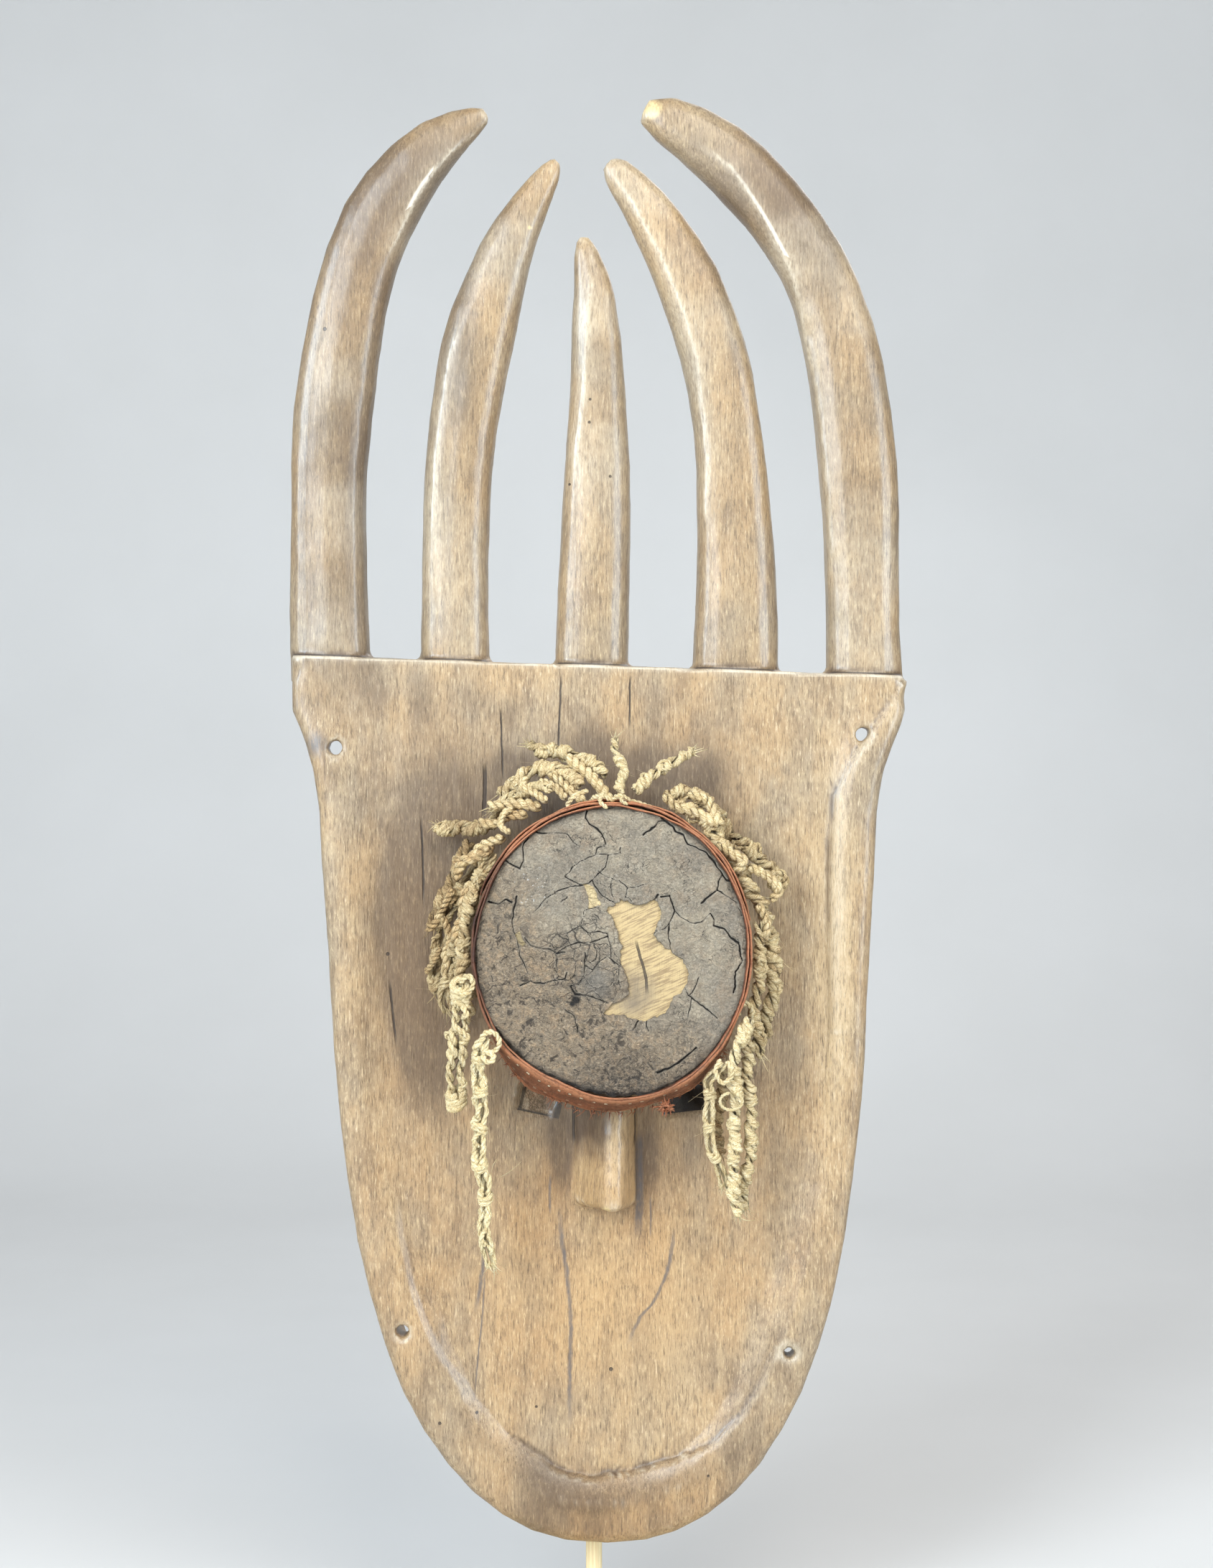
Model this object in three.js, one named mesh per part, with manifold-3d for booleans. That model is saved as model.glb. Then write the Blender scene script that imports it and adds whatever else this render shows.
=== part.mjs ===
// A horned face mask carved from one block of light wood, standing on a dowel in a plain block foot.
// Five curved horns rise from a flat headboard, over a long dished face plate with a rounded chin.
// A drum-shaped boss juts from the forehead; a crust of dark resin covers its front, a strip of red
// leather wraps its side, and a fringe of plaited bast cords is tied round it behind the leather.
// Units are millimetres: +Z up, +X to the viewer's right, and the face looks along -Y.
// The origin is on the floor, under the middle of the mask.

import * as THREE from "three";
import { mergeVertices } from "three/addons/utils/BufferGeometryUtils.js";
import Module from "manifold-3d";

const wasm = await Module();
wasm.setup();

// Driving dimensions of the stand
const FOOT_WIDTH = 200;
const FOOT_DEPTH = 180;
const FOOT_HEIGHT = 28;
const FOOT_BEVEL = 3;
const SOCKET_DEPTH = 18;
const ROD_RADIUS = 5;
const ROD_X = -2.5;
const ROD_Y = 23.6;
const ROD_SIDES = 20;
const GAP = 0.3;

// Driving dimensions of the face plate, seen from the front
const CHIN_Z = 90;
const CHEEK_Z = 440;
const SHOULDER_LOW_Z = 536;
const SHOULDER_HIGH_Z = 598;
const TOP_Z = 625.6;
const HEAD_HALF_WIDTH = 188;
const SHOULDER_HALF_WIDTH = 170.5;
const CHEEK_HALF_WIDTH = 165;
const CHIN_POWER = 2.25;
const CHEEK_DIP = 0.0165;
const TOP_TILT = Math.tan(THREE.MathUtils.degToRad(1.9));
const TOP_TILT_FROM_Z = 598;
const CENTRE_DRIFT = 4.4;
const ANCHOR_Z = 170;

// Driving dimensions of the plate's thickness: y grows to the back
const FIELD_Y = 0;
const PLATE_BACK_Y = 13;
const WALL = 10;
const CAVITY_TOP_Z = 597;
const EDGE_RADIUS = 7;
const CAVITY_CORNER = 6;
const RIM_WIDTH_CHEEK = 26;
const RIM_WIDTH_CHIN = 38;
const RIM_RISE_CHEEK = 5;
const RIM_RISE_CHIN = 9;
const RIM_CHIN_Z = [190, 340];
const RIM_FADE_Z = [560, 615];
const RIM_SLOPE = [0.6, 1.25];
const CHIN_BACK_Y = 18;
const MIDDLE_BACK_Y = 46;
const HEAD_BACK_Y = 36;
const BACK_DEEPENS_Z = [100, 330];
const BACK_THINS_Z = [480, 590];

// Driving dimensions of the forehead boss and what covers it
const BOSS = { x: 8.2, z: 454, rootY: -4, frontY: -58, domeY: -64.5, rootRx: 72, rootRz: 77.5,
  frontRx: 80.2, frontRz: 85.7, fillet: 3 };
const BOSS_FLARE = (BOSS.frontRx - BOSS.rootRx) / (BOSS.rootY - BOSS.frontY);
const DOME_SHARES = [0.97, 0.8, 0.55, 0.25];
const OVAL_SIDES = 40;
const CRUST = { rx: 81, rz: 86.5, edgeY: -62, middleY: -68, edgeStep: 1.5 };
const BAND = { backY: -38, frontY: -64, thick: 2, clear: 0.8, sides: 44 };
const BAND_FLARE = { bottom: 10, side: 1.6, top: 2.4 };

// Driving dimensions of the nose, the eyes and the lacing holes
const NOSE = { x: 4.8, ridgeX: 9, topZ: 388, tipZ: 296, topWidth: 35, tipWidth: 37.5,
  ridgeWidth: 9, topRise: 17, tipRise: 31, corner: 3.5, rootY: 4, leftSideY: -4, rightSideY: -7 };
const EYES = [
  { x: -37.5, z: 362.5, turn: -14 },
  { x: 51.5, z: 362, turn: 5 },
];
const EYE = { front: 25, slitWidth: 15, slitHeight: 8.5, slitLift: 7.5, outY: -8, slitY: 12, throughY: 17 };
const LACING_RADIUS = 4.8;
const LACING_DEPTH = 60;
const LACING_HOLES = [[-160.5, 575], [162, 583], [-118.5, 220], [116.3, 207]];

// Each horn is a row of stations up its middle: x, z and the width there.
// depth is its front-to-back size over its width, and sweep is how far the tip leans forward.
const HORNS = [
  { depth: 0.74, sweep: 12, stations: [[-165.2, 617, 50], [-166.8, 698, 47.8], [-166, 751, 48],
    [-160.9, 804, 48.2], [-151.7, 856, 45.6], [-138.5, 896, 44.6], [-122.3, 922, 40.6],
    [-100.5, 946, 32.4], [-80.5, 958.6, 20.4], [-69.5, 963.4, 12]] },
  { depth: 0.8, sweep: 9, stations: [[-88.2, 617, 43], [-88.3, 672, 41.6], [-87.3, 725, 41.7],
    [-84.8, 760, 42.1], [-78.3, 804, 43.4], [-73.1, 830, 43.8], [-63.9, 861, 38.2],
    [-54, 887, 31.6], [-42, 909, 24.2], [-33.3, 922, 16.4], [-27.6, 930.5, 9.5]] },
  { depth: 0.8, sweep: 7, stations: [[-4.3, 615, 46.1], [-2.6, 672, 44.7], [-1.2, 712, 42.6],
    [-0.4, 751, 39.5], [-0.4, 804, 32.5], [-1.9, 843, 27.6], [-3.5, 869.6, 19.6], [-5.6, 884, 9]] },
  { depth: 0.68, sweep: 9, stations: [[84.6, 611, 54.6], [85.7, 672, 50.8], [84.4, 716, 45.8],
    [81.6, 760, 42.8], [75.1, 804, 42.3], [68.3, 830, 41], [55.7, 863, 39.6], [42, 889, 34.6],
    [28.6, 909.6, 28.8], [17, 925.4, 21.5], [10.6, 932.5, 13.5]] },
  { depth: 0.74, sweep: 12, stations: [[164.8, 606, 48.4], [163.5, 672, 45.8], [163, 716, 47.1],
    [160, 760, 48.5], [154.3, 804, 46.6], [146.4, 839, 44], [134.4, 869.6, 42.4],
    [118, 896, 42], [96, 922, 41.4], [72.6, 943, 38.8], [49, 957.9, 31.6], [33.5, 964.3, 22]] },
];
const HORN_Y = 18.8;
const HORN_SQUARENESS = 2.5;
const HORN_SIDES = 16;
const HORN_EXTRA_RINGS = 4;
const HORN_TIP_SHARE = 0.72;

// Outline of the bare patch where the crust has flaked off the wood: x and z.
const BARE_PATCH = [[10, 470], [6, 479], [14, 486], [24, 481], [34, 486], [38, 474], [33, 466],
  [39, 457], [50, 450], [54, 438], [46, 430], [40, 419], [27, 413], [16, 418], [3, 417], [9, 425],
  [19, 430], [17, 441], [12, 449], [15, 459]];

// The cords of the fringe: name, diameter, and the points of the middle line.
const CORDS = [
  ["fringe_arch_outer", 9, [[-41.8, -22, 577], [-33.2, -25, 572.5], [-22.5, -28, 572.3],
    [-11, -31, 568.5], [-2, -34, 565], [5.4, -39, 558.5]]],
  ["fringe_arch_inner", 9, [[-58, -28, 546], [-47.6, -31, 555.7], [-36.8, -33, 561.3], [-26, -35, 561.6],
    [-16.5, -38, 557.5], [-10.8, -42, 551.5]]],
  ["fringe_rim_left", 6.8, [[-63.5, -36, 537.5], [-53.5, -39, 544], [-44, -41, 548.2],
    [-34.5, -44, 551.4], [-26.5, -48, 550.6]]],
  ["fringe_knotted_end", 9, [[-96, -14, 527.7], [-90.5, -16, 525.4], [-82.7, -18, 527], [-74, -22, 526],
    [-65.5, -24.6, 528.6], [-57, -26, 535], [-49, -26.5, 541], [-41, -27, 546]]],
  ["fringe_left_outer", 8.5, [[-76.5, -20, 518], [-83, -18, 506.6], [-87, -16, 497.3],
    [-91.7, -14, 486.5], [-96.5, -12, 476.5], [-101.6, -11, 464.8]]],
  ["fringe_left_second", 9, [[-64.6, -33, 517], [-69.8, -31, 507], [-75.4, -29, 497.5],
    [-82, -27, 488.8], [-87.7, -25, 480], [-92, -23, 471.4], [-93.6, -21, 460], [-95.6, -18, 452.4],
    [-97, -15, 445], [-99, -13, 436.4], [-96.6, -12, 426]]],
  ["fringe_left_third", 9, [[-61.3, -44, 511.9], [-67.4, -42.5, 502.3], [-72.6, -41, 490.9],
    [-76, -39, 480.2], [-80.6, -37, 471], [-83.8, -35, 461], [-86, -33, 449], [-89, -31.5, 440.3],
    [-91, -30, 432.6], [-92, -28, 424.8], [-89.3, -27, 416]]],
  ["fringe_left_inner", 7.5, [[-71.5, -52.5, 493.8], [-75.4, -51.5, 483], [-77.9, -50, 472.4],
    [-79, -48.5, 462.9], [-79.3, -47, 455], [-79, -46, 445]]],
  ["left_doubled_cord", 12, [[-80.7, -60, 435.5], [-79.6, -56.5, 429.2], [-80, -53, 419],
    [-81.8, -50, 406.5], [-83.4, -47, 393], [-84.6, -45, 380], [-83.8, -43, 363.5]]],
  ["left_long_chain", 9, [[-64, -69.5, 405], [-67.5, -67, 399.5], [-69.5, -62.5, 393], [-69.5, -59, 384],
    [-68.7, -56, 372], [-68.8, -53, 357.7], [-69.5, -50, 343.3], [-69, -48, 328], [-66.8, -46, 313]]],
  ["top_curl", 6, [[13.6, -46, 547.2], [13.2, -43.5, 553], [16, -41, 560.6], [12.6, -39, 567.2],
    [10, -37, 572.5], [10.4, -35, 580]]],
  ["top_stub", 7.6, [[22, -47, 548.5], [29.2, -42.5, 555.3], [37.8, -38.5, 561.3], [45.6, -34.5, 566.3],
    [57.5, -29, 572.5]]],
  ["fringe_right_outer", 9, [[40.8, -32, 544.2], [47.8, -30.5, 548], [55.6, -29, 548],
    [63.3, -27.5, 543.8], [69.4, -26.5, 539], [73.8, -25.5, 531.3], [80.8, -24.5, 522.2],
    [90, -23.5, 514.9], [97, -22.5, 508.9], [104, -21.5, 500.7], [110.5, -20, 493]]],
  ["fringe_right_inner", 9.5, [[46.4, -44.5, 539.2], [53.2, -44.5, 538.3], [60, -44.5, 533.2],
    [66.8, -44, 527.3], [72, -43.5, 519.7], [78, -42.5, 511.7], [84, -41.5, 504.3], [88.4, -40.5, 495.8],
    [92.7, -39.5, 487.3], [98, -38, 478.8], [101.4, -36.5, 470.2], [103.2, -34.5, 461.5],
    [104.2, -33, 451], [106, -31, 439.5], [105.3, -29, 427.3], [102, -27.5, 414.3],
    [100.3, -26.5, 401.4]]],
  ["fringe_right_second", 8, [[94.8, -51, 471.5], [95.8, -49.5, 462.5], [96, -48, 453.6],
    [95.5, -46.5, 445], [95.7, -45, 436.3], [94, -44, 426], [93.2, -43, 417.6], [94.5, -42, 406.3],
    [96.8, -41, 390.5]]],
  ["right_strand_left", 7.5, [[74.1, -61, 389.3], [69.8, -58.5, 383.8], [65.3, -55.5, 378],
    [66.4, -52.5, 368], [65.7, -50, 357], [66.2, -48, 346], [67.7, -46, 335.4], [72.6, -43, 325],
    [75.3, -39.5, 312.5]]],
  ["right_strand_back", 7, [[73, -43.5, 383.6], [74, -41.5, 371], [72, -39.5, 357.8],
    [71.3, -37.5, 347.3], [73.7, -33, 332]]],
  ["right_strand_middle", 8, [[89.5, -63, 415.6], [86, -61.5, 407.5], [82, -59.5, 397.7],
    [79.7, -57, 386.9], [81.2, -54.5, 376], [81.8, -52.5, 365], [80.6, -50.5, 354.2],
    [81.2, -48.5, 341.2], [80, -47, 329], [81.4, -46, 317.3], [80.6, -45, 307.3], [84.2, -44, 297]]],
  ["right_strand_right", 8, [[89.3, -50, 414.1], [88, -49, 405], [89, -48, 392.7], [88.7, -46.8, 381.7],
    [89.4, -45.4, 370.7], [91.3, -43.6, 359], [91, -42, 347.8], [91.6, -40, 338], [90.5, -38, 328],
    [88.5, -36.5, 318.6], [86.9, -35, 310.2], [88, -34, 299.3]]],
];
const CHAIN_TAIL = { diameter: 5, points: [[-66.9, -46.1, 314], [-66.6, -44.5, 300], [-67.6, -43, 288],
  [-64.8, -41.5, 276], [-62.6, -40.5, 265.5]] };
const TIE = { y: -33, radius: 2.2, clear: 0.6, sides: 6, steps: 32 };
const CORD_SIDES = 8;
const CORD_STEP = 2.4;

const smooth = THREE.MathUtils.smoothstep;
const { degToRad, lerp } = THREE.MathUtils;

// A closed body from rings of equally many points, with a fan over each end.
function loft(rings) {
  const count = rings[0].length;
  const middles = [rings[0], rings[rings.length - 1]].map((ring) =>
    ring.reduce((sum, p) => sum.add(p), new THREE.Vector3()).divideScalar(count));
  const points = [...rings.flat(), ...middles];
  const faces = [];
  for (let i = 0; i + 1 < rings.length; i++) {
    for (let j = 0; j < count; j++) {
      const a = i * count + j;
      const b = i * count + ((j + 1) % count);
      faces.push(a, b, b + count, a, b + count, a + count);
    }
  }
  const last = (rings.length - 1) * count;
  for (let j = 0; j < count; j++) {
    const next = (j + 1) % count;
    faces.push(next, j, points.length - 2, last + j, last + next, points.length - 1);
  }
  return body(points, faces);
}

function body(points, faces) {
  const geometry = new THREE.BufferGeometry();
  geometry.setFromPoints(points);
  geometry.setIndex(faces);
  return geometry;
}

// A manifold-3d solid from a geometry; one whose faces point inwards is turned right side out.
function solid(geometry) {
  const bare = geometry.clone();
  bare.deleteAttribute("normal");
  bare.deleteAttribute("uv");
  const merged = mergeVertices(bare, 1e-4);
  const make = (triVerts) => new wasm.Manifold(new wasm.Mesh({
    numProp: 3, vertProperties: new Float32Array(merged.attributes.position.array), triVerts }));
  const triangles = new Uint32Array(merged.index.array);
  const made = make(triangles);
  if (made.volume() > 0) return made;
  return make(triangles.reverse());
}

function geometryOf(manifold) {
  const mesh = manifold.getMesh();
  const geometry = new THREE.BufferGeometry();
  geometry.setAttribute("position", new THREE.BufferAttribute(new Float32Array(mesh.vertProperties), 3));
  geometry.setIndex(new THREE.BufferAttribute(new Uint32Array(mesh.triVerts), 1));
  return geometry;
}

// Half the plate's width at a height, above the chin.
function halfWidth(z) {
  if (z >= SHOULDER_HIGH_Z) return HEAD_HALF_WIDTH;
  if (z >= SHOULDER_LOW_Z) {
    const down = (SHOULDER_HIGH_Z - z) / (SHOULDER_HIGH_Z - SHOULDER_LOW_Z);
    return SHOULDER_HALF_WIDTH + (HEAD_HALF_WIDTH - SHOULDER_HALF_WIDTH) * (1 - down) ** 1.7;
  }
  return lerp(CHEEK_HALF_WIDTH, SHOULDER_HALF_WIDTH, (z - CHEEK_Z) / (SHOULDER_LOW_Z - CHEEK_Z));
}

// Points of the right half of the outline, from the top corner down to the middle of the chin.
function halfOutline(topZ, sideSteps, chinSteps) {
  const points = [];
  const heights = [topZ, SHOULDER_HIGH_Z, 588, 576, 562, SHOULDER_LOW_Z];
  for (let i = 1; i < sideSteps; i++) heights.push(lerp(SHOULDER_LOW_Z, CHEEK_Z, i / sideSteps));
  for (const z of heights) points.push(new THREE.Vector2(halfWidth(z), z));
  for (let i = 0; i <= chinSteps; i++) {
    const turn = (i / chinSteps) * (Math.PI / 2);
    const down = Math.sin(turn) ** (2 / CHIN_POWER);
    const across = i === chinSteps ? 0 : Math.cos(turn) ** (2 / CHIN_POWER);
    const dip = 1 - CHEEK_DIP * Math.sin(1.5 * Math.PI * down);
    points.push(new THREE.Vector2(CHEEK_HALF_WIDTH * dip * across, lerp(CHEEK_Z, CHIN_Z, down)));
  }
  return points;
}

// The outline moved inwards by a distance, with its top corner at another height.
function innerOutline(outline, distance, topZ) {
  return outline.map((p, i) => {
    if (i === outline.length - 1) return new THREE.Vector2(0, p.y + distance);
    const before = outline[Math.max(i - 1, 0)];
    const after = outline[i + 1];
    const along = after.clone().sub(before).normalize();
    return new THREE.Vector2(p.x + along.y * distance, Math.min(p.y - along.x * distance, topZ));
  });
}

function distanceTo(outline, x, z) {
  const line = new THREE.Line3();
  const point = new THREE.Vector3(Math.abs(x), z, 0);
  const near = new THREE.Vector3();
  let least = Infinity;
  for (let i = 0; i + 1 < outline.length; i++) {
    line.start.set(outline[i].x, outline[i].y, 0);
    line.end.set(outline[i + 1].x, outline[i + 1].y, 0);
    least = Math.min(least, line.closestPointToPoint(point, true, near).distanceTo(point));
  }
  return least;
}

// The front of the plate: a flat field, a raised rim that fades out at the headboard, a round edge.
function frontY(edge, z) {
  const chin = 1 - smooth(z, ...RIM_CHIN_Z);
  const width = lerp(RIM_WIDTH_CHEEK, RIM_WIDTH_CHIN, chin);
  const rise = lerp(RIM_RISE_CHEEK, RIM_RISE_CHIN, chin) * (1 - smooth(z, ...RIM_FADE_Z));
  const rim = 1 - smooth(edge / width, ...RIM_SLOPE);
  const roll = Math.max(0, 1 - edge / EDGE_RADIUS);
  return FIELD_Y - rise * rim + EDGE_RADIUS * (1 - Math.sqrt(1 - roll * roll));
}

function backY(z) {
  return CHIN_BACK_Y + (MIDDLE_BACK_Y - CHIN_BACK_Y) * smooth(z, ...BACK_DEEPENS_Z)
    - (MIDDLE_BACK_Y - HEAD_BACK_Y) * smooth(z, ...BACK_THINS_Z);
}

// The plate leans a little: its middle drifts to one side at the chin, and its top edge slopes.
function lean(point) {
  const tilt = TOP_TILT * smooth(point.z, TOP_TILT_FROM_Z, TOP_Z);
  point.z -= tilt * point.x;
  point.x += CENTRE_DRIFT * (1 - Math.min(1, (point.z - CHIN_Z) / (TOP_Z - CHIN_Z))) ** 2;
  return point;
}

// A slab whose face grid runs inwards from the outline to an upright line up its middle, from
// ANCHOR_Z to the top. inset holds distances in from the outline, and share the rest as shares
// of the way left.
function slab(outline, topZ, inset, share, faceY, farY) {
  const left = outline.slice(0, -1).map((p) => new THREE.Vector2(-p.x, p.y)).reverse();
  const around = [...outline, ...left];
  const steps = inset.length + share.length;
  const points = [];
  const grid = (heightOf) => {
    for (const p of around) {
      const anchor = new THREE.Vector2(0, Math.min(Math.max(p.y, ANCHOR_Z), topZ));
      const reach = p.distanceTo(anchor);
      for (let k = 0; k < steps; k++) {
        const start = inset[inset.length - 1];
        const deep = k < inset.length ? inset[k]
          : start + (reach - start) * share[k - inset.length];
        const at = p.clone().lerp(anchor, deep / reach);
        points.push(lean(new THREE.Vector3(at.x, heightOf(at.x, at.y), at.y)));
      }
    }
  };
  grid(faceY);
  grid(farY);
  const half = around.length * steps;
  const faces = [];
  const quad = (a, b, c, d) => faces.push(a, b, c, a, c, d);
  for (let i = 0; i + 1 < around.length; i++) {
    for (let k = 0; k + 1 < steps; k++) {
      const a = i * steps + k;
      quad(a, a + 1, a + 1 + steps, a + steps);
      quad(a + half, a + steps + half, a + 1 + steps + half, a + 1 + half);
    }
    quad(i * steps, (i + 1) * steps, (i + 1) * steps + half, i * steps + half);
  }
  const end = (around.length - 1) * steps;
  for (let k = 0; k + 1 < steps; k++) {
    quad(k, k + half, k + 1 + half, k + 1);
    quad(end + k, end + k + 1, end + k + 1 + half, end + k + half);
  }
  return body(points, faces);
}

function plate() {
  const outline = halfOutline(TOP_Z, 4, 14);
  const fine = halfOutline(TOP_Z, 20, 60);
  const inset = [0, 1, 3.5, 7, 16, 25, 33, 44];
  const share = [0.5, 1];
  return solid(slab(outline, TOP_Z, inset, share,
    (x, z) => frontY(distanceTo(fine, x, z), z),
    (x, z) => backY(z)));
}

function cavity() {
  const outer = halfOutline(CAVITY_TOP_Z, 4, 12).filter((p) => p.y <= CAVITY_TOP_Z);
  const outline = innerOutline(outer, WALL, CAVITY_TOP_Z);
  outline[0].set(outline[0].x, CAVITY_TOP_Z);
  return solid(slab(outline, CAVITY_TOP_Z, [0, 2, CAVITY_CORNER], [0.6, 1],
    (x, z) => {
      const roll = Math.max(0, 1 - distanceTo(outline, x, z) / CAVITY_CORNER);
      return PLATE_BACK_Y + CAVITY_CORNER * (1 - Math.sqrt(1 - roll * roll));
    },
    () => MIDDLE_BACK_Y + 20));
}

// A horn: rings of squared ovals across its middle line, narrowing to a blunt tip.
function horn({ depth, sweep, stations }) {
  const middle = new THREE.CatmullRomCurve3(stations.map(([x, z, w]) => new THREE.Vector3(x, w, z)));
  const rings = [];
  const steps = stations.length + HORN_EXTRA_RINGS;
  for (let i = 0; i <= steps; i++) {
    const t = i / steps;
    const at = middle.getPoint(t);
    const along = middle.getTangent(t).setY(0).normalize();
    const across = new THREE.Vector3(along.z, 0, -along.x);
    const half = (at.y / 2) * (i === steps ? HORN_TIP_SHARE : 1);
    const y = HORN_Y - sweep * t * t;
    const ring = [];
    for (let k = 0; k < HORN_SIDES; k++) {
      const turn = (k / HORN_SIDES) * 2 * Math.PI;
      const round = (v) => Math.sign(v) * Math.abs(v) ** (2 / HORN_SQUARENESS);
      const p = new THREE.Vector3(at.x, y, at.z).addScaledVector(across, half * round(Math.cos(turn)));
      p.y += half * depth * round(Math.sin(turn));
      ring.push(p);
    }
    rings.push(ring);
  }
  return solid(loft(rings));
}

// A ring of an oval about the boss's middle, at one depth.
function oval(rx, rz, y) {
  return Array.from({ length: OVAL_SIDES }, (_, k) => {
    const turn = (k / OVAL_SIDES) * 2 * Math.PI;
    return new THREE.Vector3(BOSS.x + rx * Math.cos(turn), y, BOSS.z + rz * Math.sin(turn));
  });
}

// Rings of the boss's domed front, from a share of its radius inwards, raised by a lift.
function domeRings(lift, edgeShare) {
  const rise = BOSS.frontY - BOSS.domeY;
  return [edgeShare, ...DOME_SHARES].map((share) => oval(BOSS.frontRx * share, BOSS.frontRz * share,
    BOSS.frontY - rise * (1 - Math.min(1, share) ** 2) - lift));
}

function boss() {
  const { rootRx, rootRz, fillet } = BOSS;
  return solid(loft([
    oval(rootRx + fillet, rootRz + fillet, PLATE_BACK_Y / 2),
    oval(rootRx + fillet, rootRz + fillet, FIELD_Y),
    oval(rootRx, rootRz, BOSS.rootY),
    oval(BOSS.frontRx, BOSS.frontRz, BOSS.frontY),
    ...domeRings(0, 1),
  ]));
}

function nose() {
  const section = (z, width, rise, inset) => {
    const low = NOSE.x - width / 2 + inset;
    const high = NOSE.x + width / 2 - inset;
    const ridge = NOSE.ridgeWidth / 2;
    return [[low, NOSE.rootY], [low, NOSE.leftSideY], [NOSE.ridgeX - ridge, -rise],
      [NOSE.ridgeX + ridge, -rise], [high, NOSE.rightSideY], [high, NOSE.rootY]]
      .map(([x, y]) => new THREE.Vector3(x, y, z));
  };
  return solid(loft([
    section(NOSE.tipZ, NOSE.tipWidth, NOSE.tipRise - NOSE.corner, NOSE.corner),
    section(NOSE.tipZ + NOSE.corner, NOSE.tipWidth, NOSE.tipRise, 0),
    section(NOSE.topZ, NOSE.topWidth, NOSE.topRise, 0),
  ]));
}

// The space of an eye: a square at the front whose floor slopes up to a slit at the back.
function eye({ x, z, turn }) {
  const frame = (width, height, lift, y) =>
    [[-1, -1], [1, -1], [1, 1], [-1, 1]].map(([a, b]) =>
      new THREE.Vector3((a * width) / 2, y, lift + (b * height) / 2));
  const shape = loft([
    frame(EYE.front, EYE.front, 0, EYE.outY),
    frame(EYE.front, EYE.front, 0, FIELD_Y),
    frame(EYE.slitWidth, EYE.slitHeight, EYE.slitLift, EYE.slitY),
    frame(EYE.slitWidth, EYE.slitHeight, EYE.slitLift, EYE.throughY),
  ]);
  return solid(shape.rotateY(degToRad(-turn)).translate(x, 0, z));
}

function lacingHole([x, z]) {
  const cut = new THREE.CylinderGeometry(LACING_RADIUS, LACING_RADIUS, LACING_DEPTH, 12);
  return solid(cut.translate(x, 0, z));
}

function carvedMask() {
  let made = plate().subtract(cavity());
  for (const shape of HORNS) made = made.add(horn(shape));
  made = made.add(boss()).add(nose());
  for (const place of EYES) made = made.subtract(eye(place));
  for (const place of LACING_HOLES) made = made.subtract(lacingHole(place));
  return geometryOf(made);
}

// The crust is a thin domed shell on the boss's front, with a hole where it has flaked off.
function resinCrust() {
  const at = (share, y) => oval(CRUST.rx * share, CRUST.rz * share, y);
  const bulge = CRUST.middleY - CRUST.edgeY;
  const lens = loft([
    at(0.985, BOSS.frontY - GAP),
    at(1, CRUST.edgeY + CRUST.edgeStep),
    at(0.975, CRUST.edgeY),
    at(0.85, CRUST.edgeY + 0.38 * bulge),
    at(0.6, CRUST.edgeY + 0.75 * bulge),
    at(0.25, CRUST.middleY),
  ]);
  const wide = 1.2;
  const behindY = BOSS.frontY + 10;
  const dome = loft([oval(BOSS.frontRx * wide, BOSS.frontRz * wide, behindY), ...domeRings(GAP, wide)]);
  const patch = new THREE.Shape(BARE_PATCH.map(([x, z]) => new THREE.Vector2(x, z)));
  const hole = new THREE.ExtrudeGeometry(patch, { depth: 30, bevelEnabled: false });
  hole.rotateX(Math.PI / 2).translate(0, behindY, 0);
  return geometryOf(solid(lens).subtract(solid(dome)).subtract(solid(hole)));
}

// The leather strip hugs the boss at its front edge and stands off it at its back edge, most below.
function leatherBand() {
  const { sides } = BAND;
  const rings = [];
  for (let k = 0; k < sides; k++) {
    const turn = (k / sides) * 2 * Math.PI;
    const up = Math.sin(turn);
    const flare = up < 0 ? lerp(BAND_FLARE.side, BAND_FLARE.bottom, smooth(-up, 0.1, 0.95))
      : lerp(BAND_FLARE.side, BAND_FLARE.top, up);
    const point = (y, out) => {
      const reach = (BOSS.frontY - y) * BOSS_FLARE + out;
      return new THREE.Vector3(BOSS.x + (BOSS.frontRx + reach) * Math.cos(turn), y,
        BOSS.z + (BOSS.frontRz + reach) * Math.sin(turn));
    };
    rings.push([
      point(BAND.frontY, BAND.clear),
      point(BAND.backY, BAND.clear + flare),
      point(BAND.backY, BAND.clear + flare + BAND.thick),
      point(BAND.frontY, BAND.clear + BAND.thick),
    ]);
  }
  const count = rings[0].length;
  const faces = [];
  for (let i = 0; i < sides; i++) {
    for (let j = 0; j < count; j++) {
      const a = i * count + j;
      const b = i * count + ((j + 1) % count);
      const c = ((i + 1) % sides) * count + ((j + 1) % count);
      const d = ((i + 1) % sides) * count + j;
      faces.push(a, b, c, a, c, d);
    }
  }
  return geometryOf(solid(body(rings.flat(), faces)));
}

// A cord is a round tube along a smooth curve through its points.
function cordTube(diameter, points) {
  const path = new THREE.CatmullRomCurve3(points.map((p) => new THREE.Vector3(...p)));
  const section = new THREE.Shape();
  for (let k = 0; k < CORD_SIDES; k++) {
    const turn = (k / CORD_SIDES) * 2 * Math.PI;
    const x = (diameter / 2) * Math.cos(turn);
    const y = (diameter / 2) * Math.sin(turn);
    if (k === 0) section.moveTo(x, y);
    else section.lineTo(x, y);
  }
  const steps = Math.max(3, Math.round(path.getLength() / (CORD_STEP * diameter)));
  return solid(new THREE.ExtrudeGeometry(section, { steps, bevelEnabled: false, extrudePath: path }));
}

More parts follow.
